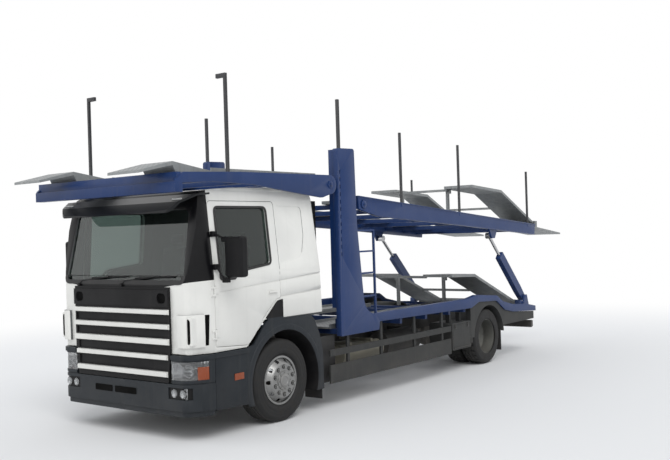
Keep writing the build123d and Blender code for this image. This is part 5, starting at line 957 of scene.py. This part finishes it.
# %% Window seals
WINDOW_CORNERS = ((-1.005, 1.800), (-1.005, 2.625), (-0.130, 2.625), (-0.130, 1.945), (-0.700, 1.880),
                  (-0.770, 1.800))
WINDOW_RADII = (0.040, 0.060, 0.060, 0.060, 0.060, 0.030)
SCREEN_CORNERS = ((-1.060, 1.790), (-1.010, 2.610), (1.010, 2.610), (1.060, 1.790))
window_outline = rounded(WINDOW_CORNERS, WINDOW_RADII)
screen_outline = rounded(SCREEN_CORNERS, (0.070,) * 4)
FAR_OUT = 2.0
# Rays at the cab's front start this much farther out, before the bumper
FRONT_OUT = FAR_OUT + 0.6


def from_side(side):
    """Turns an outline point (place, height) into a ray's start beside the cab."""
    return lambda point: at(side * FAR_OUT, point.x, point.y)


def from_front(point):
    """Turns an outline point (x, height) into a ray's start before the cab."""
    return at(point.x, -FRONT_OUT, point.y)


for side_name, side in SIDES:
    door_surface = surface_of(f"door_{side_name}")
    seal = Shape()
    ribbon(seal, window_outline, from_side(side), (-side, 0, 0), door_surface, 0.016, 0.012, 0.005)
    seal.piece(f"window_seal_{side_name}", f"door_{side_name}", "mirror_plastic", RUBBER, sharp=60)
cab_surface = surface_of("cab_shell")
screen_seal = Shape()
ribbon(screen_seal, screen_outline, from_front, (0, 1, 0), cab_surface, 0.030, 0.022, 0.006)
screen_seal.piece("windscreen_seal", "chassis", "mirror_plastic", RUBBER, sharp=60)
print("seal points", len(window_outline), "round a window and", len(screen_outline), "round the screen")

# %% [markdown]
# Some CAD nodes carry more than one finish: the stakes are nearly black on blue beams, the screen has
# a black surround, the cab is trimmed inside, and a fog lamp sits in a dark surround. A mask in the
# shader could part the colours, but its edge would be soft and the export would blur it. So a copy of
# the mesh is cut where the finish changes, takes one finish per face, and stands in for the node.


# %% Nodes with more than one finish
def in_own_finishes(node, name, finishes, choose, body="chassis", cuts=()):
    """Copy of a CAD node's mesh, cut along planes, whose faces take one of several finishes."""
    cut = bmesh.new()
    cut.from_mesh(frame["nodes"][node].data)
    for point, normal in cuts:
        bmesh.ops.bisect_plane(cut, geom=cut.verts[:] + cut.edges[:] + cut.faces[:], plane_co=point,
                               plane_no=normal)
    data = bpy.data.meshes.new(name)
    cut.to_mesh(data)
    cut.free()
    for finish in finishes:
        data.materials.append(finish)
    for face in data.polygons:
        face.material_index = choose(face.center, face.normal)
    copy = bpy.data.objects.new(name, data)
    settle(copy, body, NODE_SLOT[node], None, node)
    soften_node(copy, NODE_SLOT[node])


def place_of(point):
    """Place behind the front axle."""
    return point.y - FRONT_AXLE_Y


def near_fog(point):
    """1 in the round pocket of a fog lamp, 2 on the headlamps above, 0 on the dark surround."""
    if point.z > FOG_TOP:
        return 2
    return 1 if any(math.hypot(abs(point.x) - x, point.z - FOG_Z) < FOG_R * 0.98 for x in FOG_ROWS) else 0


def cab_zone(centre, normal):
    """0 on white paint, 1 on the black surround of the screen, 2 on the trim inside."""
    inside = abs(centre.x) < CAB_INSIDE_X and CAB_FLOOR_Z < centre.z < CAB_CEILING_Z
    if inside and normal.dot(CAB_MIDDLE - centre) > 0:
        return 2
    return int(place_of(centre) < PILLAR_PLACE and centre.z > SCREEN_LOW_Z + SCREEN_RISE * abs(centre.x))


# The cab's inner faces look at its middle; the black surround ends at the pillars' rear edge and at
# the screen's foot, which rises a little toward the corners
CAB_MIDDLE, CAB_INSIDE_X, CAB_FLOOR_Z, CAB_CEILING_Z = at(0, -0.35, 1.9), 1.19, 1.056, 2.8
PILLAR_PLACE, SCREEN_LOW_Z, SCREEN_RISE = -1.110, 1.63, 0.14
# Above this height the skirt's corner behind the door is a dark filler
CORNER_FROM = 1.285
FOG_Z, FOG_R, FOG_ROWS, FOG_TOP = 0.55, 0.052, (0.885, 1.025), 0.65
in_own_finishes("headlamps", "headlamps_finished", (DARK_PLASTIC, CLEAR_LENS, CLEAR_LENS),
                lambda c, n: near_fog(c))
in_own_finishes("header_frame", "header_frame_finished", (BODY_PAINT, STAKE_PAINT),
                lambda c, n: c.z > 3.13, "header_deck")
in_own_finishes("upper_frame", "upper_frame_finished", (BODY_PAINT, STAKE_PAINT),
                lambda c, n: c.z > 3.17 - 0.08 * place_of(c), "upper_deck")
for side_name, side in SIDES:
    in_own_finishes(f"body_frame_{side_name}", f"body_frame_finished_{side_name}", (BODY_PAINT, STAKE_PAINT),
                    lambda c, n: c.z > 3.44)
in_own_finishes("front_fenders", "front_fenders_finished", (BUMPER_PLASTIC, DARK_PLASTIC),
                lambda c, n: abs(c.x) < 1.2 or (c.z > CORNER_FROM and place_of(c) > -0.27),
                cuts=(((0, 0, CORNER_FROM), (0, 0, 1)),))
SCREEN_FOOT = (0, 0, SCREEN_LOW_Z)
in_own_finishes("cab_shell", "cab_shell_finished", (CAB_PAINT, SCREEN_BLACK, CAB_TRIM), cab_zone,
                cuts=((at(0, PILLAR_PLACE, 0), (0, 1, 0)), (SCREEN_FOOT, (-SCREEN_RISE, 0, 1)),
                      (SCREEN_FOOT, (SCREEN_RISE, 0, 1))))
for side_name, side in SIDES:
    in_own_finishes(f"door_{side_name}", f"door_finished_{side_name}", (CAB_PAINT, CAB_TRIM),
                    lambda c, n: n.x * side < -0.5 and abs(c.x) < 1.21, f"door_{side_name}")

# %% [markdown]
# Headlamps are clear blocks with bright bowls inside. A ray from the front finds the lens at each
# bowl, and the bowl sits a little behind it. The fog lamps get a bowl and a domed glass each. A
# picture of a lamp would look flat from the side, and turned bowls cost few faces.

# %% Lamp insides
lamp_surface = surface_of("headlamps")


def lens_at(x, z):
    """Point on the lens in front of x and z."""
    hit = lamp_surface.ray_cast(from_front(Vector((x, z))), Vector((0, 1, 0)))[0]
    return hit if hit is not None else at(x, -1.44, z)


bowls, bulbs, domes = Shape(), Shape(), Shape()
FORWARD = Vector((0, -1, 0))
BOWL_Z, BOWL_BEHIND = 0.800, 0.085
for side_name, side in SIDES:
    for x, radius in ((0.905, 0.072), (1.055, 0.062)):
        mouth = lens_at(side * x, BOWL_Z) - FORWARD * BOWL_BEHIND
        bowls.turned(mouth, FORWARD, [(-0.062, 0.0), (-0.060, radius * 0.3), (-0.045, radius * 0.62),
                                      (0.0, radius), (0.012, radius), (0.012, radius + 0.012),
                                      (-0.066, radius + 0.006), (-0.072, 0.0)], sides=36)
        bulbs.turned(mouth, FORWARD, [(-0.055, 0.0), (-0.055, 0.011), (-0.010, 0.011), (0.0, 0.0)], sides=16)
    for x in FOG_ROWS:
        pocket = lens_at(side * x, FOG_Z)
        bowls.turned(pocket, FORWARD, [(0.0005, 0.0), (0.001, 0.015), (0.010, 0.044), (0.010, 0.049),
                                       (-0.001, 0.049)], sides=32)
        domes.turned(pocket, FORWARD, [(0.012, 0.049), (0.017, 0.040), (0.021, 0.022), (0.022, 0.0)],
                     sides=32)
bowls.piece("lamp_bowls", "chassis", "lamp_lens", REFLECTOR, sharp=30)
bulbs.piece("lamp_bulbs", "chassis", "lamp_lens", MIRROR_FACE)
domes.piece("fog_lamp_glass", "chassis", "lamp_lens", CLEAR_LENS)
print("headlamp bowls", BOWL_BEHIND, "m behind the lens")

# %% [markdown]
# Small lamps: an amber marker on each front skirt, a white lamp under the sun visor on either side, and
# the lens rows of the rear lamps. Each is a low moulding on the surface behind it, so a bevelled box is
# enough; the flutes of the lens are in its finish.

# %% Small lamps and reflectors
VISOR_LAMP = (0.98, 2.715)
VISOR_LAMP_HALF = (0.075, 0.014)
# The rear lamps stand on the rear bar; rows below are (kind, inner x, outer x) of each lens
TAIL, LENS_T, LENS_Z = 7.175, 0.012, (0.450, 0.540)
markers, whites, reds = Shape(), Shape(), Shape()
REAR_LENSES = ((markers, 0.875, 0.965), (reds, 0.975, 1.075), (whites, 1.085, 1.165))
visor_surface = surface_of("sun_visor")
for side_name, side in SIDES:
    markers.box(at(side * 1.2295, -0.845, 0.630), at(side * 1.240, -0.692, 0.708))
    hit = visor_surface.ray_cast(from_front(Vector((side * VISOR_LAMP[0], VISOR_LAMP[1]))), -FORWARD)[0]
    if hit is not None:
        half_x, half_z = VISOR_LAMP_HALF
        whites.box(hit + Vector((-half_x, -0.006, -half_z)), hit + Vector((half_x, 0.010, half_z)))
    for lenses, inner_x, outer_x in REAR_LENSES:
        lenses.box(at(side * inner_x, TAIL, LENS_Z[0]), at(side * outer_x, TAIL + LENS_T, LENS_Z[1]))
    reds.box(at(side * 0.62, TAIL - 0.045, 0.470), at(side * 0.72, TAIL - 0.037, 0.520))
markers.piece("amber_markers", "chassis", "amber_lens", AMBER_LENS, bevel=0.003)
whites.piece("white_lamps", "chassis", "lamp_lens", PLATE_WHITE, bevel=0.003)
reds.piece("red_lamps", "chassis", "lamp_lens", RED_LENS, bevel=0.003)
print("small lamps at", TAIL, "m behind the front axle and under the visor")

# %% [markdown]
# Two wipers rest on the foot of the screen. Each has a pivot, an arm with one bend and a thin blade.
# The screen is curved, so straight blades would sink in or float: a ray finds the glass under every
# point, and the pipe runs through these points.

# %% Wipers
WIPERS = ((-0.78, -0.06), (0.02, 0.74))
BLADE_STEPS = (-0.33, -0.16, 0.0, 0.16, 0.33)
screen_surface = surface_of("windscreen", "cab_shell")


def on_screen(x, z, proud):
    """Point on the windscreen in front of x and z, a little proud of it."""
    hit = screen_surface.ray_cast(from_front(Vector((x, z))), -FORWARD)[0]
    return hit + FORWARD * proud


wipers = Shape()
for pivot_x, tip_x in WIPERS:
    pivot = on_screen(pivot_x, 1.752, 0.014)
    wipers.bar(pivot - FORWARD * 0.02, pivot + FORWARD * 0.012, 0.022)
    middle_x = (pivot_x + tip_x) / 2 + 0.18
    wipers.pipe([pivot, on_screen(pivot_x + 0.05, 1.80, 0.035), on_screen(middle_x, 1.845, 0.030)], 0.008)
    blade = [on_screen(middle_x + step, 1.842 + 0.03 * step, 0.016) for step in BLADE_STEPS]
    wipers.pipe(blade, 0.009, sides=8)
wipers.piece("wipers", "chassis", "mirror_plastic", DARK_PLASTIC)
print("wipers", len(WIPERS))

# %% [markdown]
# The bumper has two long slots, the grille a recess at each end of its top panel, and the air guides
# an upright mouth in front and a strip of shade behind. A boolean could cut them deeper, but the CAD
# nodes keep their mesh. A nearly black inset laid on the surface is painted shade that reads as a
# hole or a shaded strip, and the mouth of the guide is a rounded box.

# %% Painted shade insets and air guides
SLOTS_X, SLOTS_Z = ((-0.490, -0.165), (-0.122, 0.262)), (0.490, 0.566)
RECESS_X, RECESS_HALF, RECESS_Z = 0.740, 0.062, (1.558, 1.662)
MOUTH_X, MOUTH_PLACE, MOUTH_Z = (1.056, 1.166), (-1.436, -1.345), (1.080, 1.400)
MOUTH_SLOT_X, MOUTH_SLOT_R, MOUTH_SLOT_Z = 1.113, 0.037, (1.136, 1.344)
SLOT_PLACE = (MOUTH_PLACE[0] - 0.0015, MOUTH_PLACE[0] + 0.008)
STRIP_LOW, STRIP_HIGH, STRIP_SLANT = (-1.251, 1.075), (-1.197, 1.418), 0.016

backing = Shape().box(at(-0.8, -1.385, 0.330), at(0.8, -1.378, 0.640))
backing.piece("bumper_backing", "chassis", "bumper_plastic", STAKE_PAINT)
shade_patches, mouths = Shape(), Shape()
bumper_surface, guide_surface, grille_surface = map(surface_of, ("bumper", "cab_shell", "grille"))
for first, last in SLOTS_X:
    patch(shade_patches, (first, SLOTS_Z[0]), (last, SLOTS_Z[1]), from_front, -FORWARD, bumper_surface, thick=0.004)
for side_name, side in SIDES:
    mouths.box(at(side * MOUTH_X[0], MOUTH_PLACE[0], MOUTH_Z[0]),
               at(side * MOUTH_X[1], MOUTH_PLACE[1], MOUTH_Z[1]))
    shade_patches.box(at(side * (MOUTH_SLOT_X - MOUTH_SLOT_R), SLOT_PLACE[0], MOUTH_SLOT_Z[0]),
                at(side * (MOUTH_SLOT_X + MOUTH_SLOT_R), SLOT_PLACE[1], MOUTH_SLOT_Z[1]))
    for end_z in MOUTH_SLOT_Z:
        shade_patches.bar(at(side * MOUTH_SLOT_X, SLOT_PLACE[0], end_z),
                    at(side * MOUTH_SLOT_X, SLOT_PLACE[1], end_z), MOUTH_SLOT_R, sides=28)
    patch(shade_patches, (side * RECESS_X - RECESS_HALF, RECESS_Z[0]), (side * RECESS_X + RECESS_HALF, RECESS_Z[1]),
          from_front, -FORWARD, grille_surface, thick=0.003, radius=0.046)
    patch(shade_patches, STRIP_LOW, STRIP_HIGH, from_side(side), (-side, 0, 0), guide_surface, slant=STRIP_SLANT,
          radius=0.006)
shade_patches.piece("painted_shade_insets", "chassis", "grille_plastic", HOLLOW_SHADE)
mouths.piece("air_guide_mouths", "chassis", "cab_paint", CAB_PAINT, bevel=0.014)
print("guide mouths", round(MOUTH_Z[1] - MOUTH_Z[0], 3), "m tall")

# %% [markdown]
# A truck's mirror is a tall housing on two tube arms that fold for washing. The arms stand on the
# door, so all of it swings with the door. The housing stands in for the plain CAD mirror, because a
# round edge of three centimetres makes its look; the glass is a large pane over a small wide-angle one.

# %% Mirrors
HOUSING_X, HOUSING_PLACE, HOUSING_Z = (1.335, 1.600), (-1.062, -0.940), (1.826, 2.284)
MIRROR_GLASS_X, MIRROR_GLASS_Z = (1.362, 1.572), ((1.850, 2.110), (2.125, 2.262))
# Arm rows are (place of its foot, height of its foot, height of its end, drop of its bend)
ARMS = ((-1.070, 2.318, 2.255, 0.0), (-1.080, 1.946, 1.842, -0.045))
for side_name, side in SIDES:
    door, across = f"door_{side_name}", Vector((side, 0, 0))
    door_surface = surface_of(door)
    housing = Shape().box(at(side * HOUSING_X[0], HOUSING_PLACE[0], HOUSING_Z[0]),
                          at(side * HOUSING_X[1], HOUSING_PLACE[1], HOUSING_Z[1]))
    housing.piece(f"mirror_housing_{side_name}", door, "mirror_plastic", DARK_PLASTIC, f"mirror_{side_name}",
                  bevel=0.030)
    arms = Shape()
    for place, z, end_z, drop in ARMS:
        foot = door_surface.ray_cast(from_side(side)(Vector((place, z))), -across)[0]
        arms.box(foot - across * 0.004 + Vector((0, -0.038, -0.032)),
                 foot + across * 0.045 + Vector((0, 0.038, 0.032)))
        elbow = at(side * 1.330, -1.040, end_z + drop)
        arms.pipe([foot + across * 0.03, at(side * 1.285, -1.055, (z + end_z) / 2 + drop), elbow,
                   at(side * 1.370, -1.020, end_z + drop)], 0.012)
        arms.box(elbow + Vector((-0.035, -0.024, -0.030)), elbow + Vector((0.050, 0.030, 0.030)))
    arms.piece(f"mirror_arms_{side_name}", door, "mirror_plastic", DARK_PLASTIC, bevel=0.006)
    glass = Shape()
    for low_z, high_z in MIRROR_GLASS_Z:
        glass.box(at(side * MIRROR_GLASS_X[0], HOUSING_PLACE[1] - 0.004, low_z),
                  at(side * MIRROR_GLASS_X[1], HOUSING_PLACE[1] + 0.003, high_z))
    glass.piece(f"mirror_face_{side_name}", door, "mirror_plastic", MIRROR_FACE, bevel=0.002)
print("mirrors reach", HOUSING_X[1], "m to each side")

# %% [markdown]
# Each door has a flush handle: a shallow plate with a bar across it on two short feet. It goes on the
# door's skin where a ray meets it, so it follows the curve. The steps to the cab are zinc plates inside
# the skirt below the door.

# %% Door handles and cab steps
HANDLE_AT, HANDLE_END = Vector((-0.13, 1.60)), 0.064
STEP_X, STEP_PLACE, STEP_ROWS = (1.085, 1.224), (-0.98, -0.70), (0.44, 0.70)
for side_name, side in SIDES:
    handle = Shape()
    skin = surface_of(f"door_{side_name}").ray_cast(from_side(side)(HANDLE_AT), Vector((-side, 0, 0)))[0]
    handle.box(skin + Vector((side * -0.004, -0.085, -0.026)), skin + Vector((side * 0.003, 0.085, 0.026)))
    handle.box(skin + Vector((side * 0.010, -0.070, -0.010)), skin + Vector((side * 0.026, 0.070, 0.012)))
    for end in (-HANDLE_END, HANDLE_END):
        handle.box(skin + Vector((0, end - 0.010, -0.009)), skin + Vector((side * 0.024, end + 0.010, 0.011)))
    handle.piece(f"door_handle_{side_name}", f"door_{side_name}", "cab_paint", CAB_PAINT, bevel=0.003)
    step = Shape()
    for low_z in STEP_ROWS:
        step.box(at(side * STEP_X[0], STEP_PLACE[0], low_z),
                 at(side * STEP_X[1], STEP_PLACE[1], low_z + 0.012))
    step.piece(f"cab_steps_{side_name}", "chassis", "bumper_plastic", DECK_ZINC, bevel=0.003)
print("cab steps at heights", STEP_ROWS)

# %% [markdown]
# The air intake stands on the left behind the cab, a tall box with a louvre on its outer side and two
# brackets to the cab's back. It is plastic and carries nothing, so it needs no CAD solid.

# %% Air intake
LOUVRES, LOUVRE_PITCH = 9, 0.075
intake = Shape().box(at(0.42, 0.800, 1.90), at(1.00, 1.020, 2.72))
for row in range(LOUVRES):
    intake.box(at(0.995, 0.815, 1.98 + LOUVRE_PITCH * row), at(1.008, 1.005, 2.015 + LOUVRE_PITCH * row))
for low_z in (1.96, 2.50):
    intake.box(at(0.44, 0.745, low_z), at(0.98, 0.805, low_z + 0.10))
intake.piece("air_intake", "chassis", "grille_plastic", DARK_PLASTIC, bevel=0.010)
print("louvres", LOUVRES)

# %% [markdown]
# Mudflaps hang behind the wheels, the lockers have latches and a hinge rod, and the tank has two bands
# and a filler cap. The flaps are stiff rubber and hardly bend, so thin boxes stand in for cloth here.

# %% Mudflaps, latches and tank bands
LOCKER_MIDDLE, LATCH_SHIFTS = 4.39, (-0.20, 0.20)
# Flap rows are (inner x, outer x, place from, place to, height from, height to)
FLAPS = ((0.62, 1.215, 5.795, 5.807, 0.170, 0.520), (0.92, 1.205, 0.782, 0.794, 0.150, 0.400),
         (1.100, 1.115, 0.790, 1.200, 0.320, 0.930))
# Each band runs round three sides of the tank: rows are (x, height) of two corners
BAND_PLACES, BAND_W = (1.55, 2.30), 0.05
BAND_SIDES = (((-1.116, 0.345), (-0.484, 0.352)), ((-1.116, 0.868), (-0.484, 0.875)),
              ((-1.116, 0.345), (-1.109, 0.875)))
FILLER_CAP = ((0, 0.0), (0, 0.05), (0.03, 0.05), (0.034, 0.044), (0.034, 0.0))
flaps, latches, bands = Shape(), Shape(), Shape()
for side_name, side in SIDES:
    for inner_x, outer_x, near, far, low_z, high_z in FLAPS:
        flaps.box(at(side * inner_x, near, low_z), at(side * outer_x, far, high_z))
    for shift in LATCH_SHIFTS:
        middle = LOCKER_MIDDLE + shift
        latches.box(at(side * 1.2445, middle - 0.016, 0.700), at(side * 1.256, middle + 0.016, 0.770))
        latches.bar(at(side * 1.250, middle - 0.030, 0.705), at(side * 1.250, middle + 0.030, 0.705), 0.006)
    latches.bar(at(side * 1.250, 4.13, 0.392), at(side * 1.250, 4.65, 0.392), 0.007)
flaps.piece("mudflaps", "chassis", "mirror_plastic", RUBBER, bevel=0.002)
latches.piece("locker_latches", "chassis", "guard_paint", FRAME_PAINT, bevel=0.002)
for place in BAND_PLACES:
    for low, high in BAND_SIDES:
        bands.box(at(low[0], place, low[1]), at(high[0], place + BAND_W, high[1]))
bands.turned(at(-1.02, 1.95, 0.868), (0, 0, 1), FILLER_CAP)
bands.piece("tank_bands", "chassis", "steel", DECK_ZINC, bevel=0.002)
plate = Shape().box(at(-0.26, 7.131, 0.44), at(0.26, 7.136, 0.55))
plate.piece("rear_plate_blank", "chassis", "tank_paint", PLATE_WHITE, bevel=0.001)
print("tank bands", len(BAND_PLACES), "and a blank plate at the rear")

# %% [markdown]
# The decks turn on pins in the posts. Each pin ends in a cap with a nut, in the blue of the posts. The
# pins themselves are CAD solids; a cap is only a look, so it is turned here and rides on the chassis.

# %% Pivot caps
CAP_X, CAP_EDGE = 1.2655, 0.004
# Pivot rows are (place, height, radius of the cap)
PIVOTS = ((1.02, 2.925, 0.052), (1.76, 2.670, 0.056))
for side_name, side in SIDES:
    caps, outward = Shape(), Vector((side, 0, 0))
    for place, z, radius in PIVOTS:
        centre = at(side * CAP_X, place, z)
        caps.turned(centre, outward, [(-0.004, 0.0), (-0.004, radius), (0.006, radius),
                                      (0.009, radius - CAP_EDGE), (0.009, 0.0)], sides=32)
        caps.nuts([centre + outward * 0.008], outward, 0.020, 0.016)
    caps.piece(f"pivot_bolts_{side_name}", "chassis", "body_paint", BODY_PAINT, bevel=0.001)
print("pivot caps", len(PIVOTS), "on each side")

# %% [markdown]
# Seats and mattress are stuffed cloth. A subdivided box would look like a plastic toy. Instead a
# rounded block is remeshed into small even cells, and a short cloth simulation with air pressure and
# no weight swells it. The move of each point is capped, so that no pad grows into its neighbour.


# %% Seats and mattress
def woven(name, color, darker):
    """Plain-woven cloth in two shades; the darker one is painted shade in the dips between threads."""
    finish = Finish(name, Roughness=0.92, Sheen_Weight=0.25)
    threads = finish.filled(WOVEN_CLOTH, {"Thread Pitch": 0.004, "Strength": 0.5})
    finish.feed(Base_Color=finish.mix(threads.outputs["Height"], rgba(*darker), rgba(*color)),
                Normal=threads.outputs["Normal"])
    return finish.material


# The second colour is the painted shade between the threads
SEAT_CLOTH = woven("seat_cloth", (0.05, 0.058, 0.075), (0.02, 0.023, 0.03))
ROUNDING, AIR_PRESSURE, CLOTH_FRAMES, MOVE_CAP = 0.028, 4.0, 20, 0.018


def as_mesh(obj):
    """The object's mesh with its modifiers applied."""
    return bpy.data.meshes.new_from_object(obj.evaluated_get(bpy.context.evaluated_depsgraph_get()))


def pad(name, corner, other, turn=None, voxel=0.006):
    """Stuffed block between two corners, swollen by a short cloth simulation."""
    block = Shape().box(corner, other, turn)
    data = bpy.data.meshes.new(name)
    block.mesh.to_mesh(data)
    block.mesh.free()
    obj = bpy.data.objects.new(name, data)
    scene.collection.objects.link(obj)
    soften = obj.modifiers.new("soften", "BEVEL")
    soften.width, soften.segments = ROUNDING, 4
    cells = obj.modifiers.new("cells", "REMESH")
    cells.mode, cells.voxel_size = "VOXEL", voxel
    obj.data = as_mesh(obj)
    obj.modifiers.clear()
    start = [vertex.co.copy() for vertex in obj.data.vertices]
    cloth = obj.modifiers.new("cloth", "CLOTH")
    cloth.settings.use_pressure = True
    cloth.settings.uniform_pressure_force = AIR_PRESSURE
    cloth.settings.effector_weights.gravity = 0.0
    cloth.point_cache.frame_start, cloth.point_cache.frame_end = 1, CLOTH_FRAMES
    for step in range(1, CLOTH_FRAMES + 1):
        scene.frame_set(step)
    swollen = as_mesh(obj)
    for vertex, before in zip(swollen.vertices, start):
        move = vertex.co - before
        if move.length > MOVE_CAP:
            vertex.co = before + move * (MOVE_CAP / move.length)
    obj.modifiers.clear()
    obj.data = swollen
    scene.frame_set(1)
    return obj


SEAT_X, LEAN = 0.56, Matrix.Rotation(radians(-10.3), 4, "X")
SEAT_PADS = (("seat_cushion", (-0.225, -0.545, 1.525), (0.225, -0.105, 1.635), None),
             ("seat_back", (-0.225, -0.130, 1.660), (0.225, -0.050, 2.180), LEAN),
             ("head_rest", (-0.112, -0.046, 2.208), (0.112, 0.000, 2.338), LEAN))
for pad_name, corner, other, turn in SEAT_PADS:
    first = pad(f"{pad_name}_left", at(SEAT_X + corner[0], *corner[1:]), at(SEAT_X + other[0], *other[1:]),
                turn)
    second = bpy.data.objects.new(f"{pad_name}_right", first.data.copy())
    second.data.transform(Matrix.Translation((-2 * SEAT_X, 0, 0)))
    for obj in (first, second):
        settle(obj, "chassis", "seat_fabric", SEAT_CLOTH)
mattress = pad("mattress", at(-1.105, 0.17, 1.572), at(1.105, 0.70, 1.688), voxel=0.010)
settle(mattress, "chassis", "seat_fabric", SEAT_CLOTH)

# %% [markdown]
# Under the cloth are the seats' pedestals and pans, the two rods of each head rest and the box of the
# bunk. They stand in for the plain CAD seats and bunk, whose soft parts are the pads above.

# %% Seat frames and bunk
SEAT_BASE_Z = 1.3255
frames_under = Shape()
for x in (-SEAT_X, SEAT_X):
    frames_under.box(at(x - 0.20, -0.26, SEAT_BASE_Z), at(x + 0.20, -0.09, 1.505))
    frames_under.box(at(x - 0.21, -0.53, 1.495), at(x + 0.21, -0.08, 1.520))
    for rod_x in (x - 0.06, x + 0.06):
        frames_under.bar(at(rod_x, -0.012, 2.15), at(rod_x, 0.0, 2.26), 0.007)
frames_under.piece("seat_frames", "chassis", "seat_fabric", DASH_PLASTIC, "seats", bevel=0.006)
bunk_box = Shape().box(at(-1.085, 0.18, SEAT_BASE_Z), at(1.085, 0.70, 1.558))
bunk_box.piece("bunk_box", "chassis", "seat_fabric", DASH_PLASTIC, "bunk", bevel=0.008)
print("seats at x", -SEAT_X, SEAT_X)
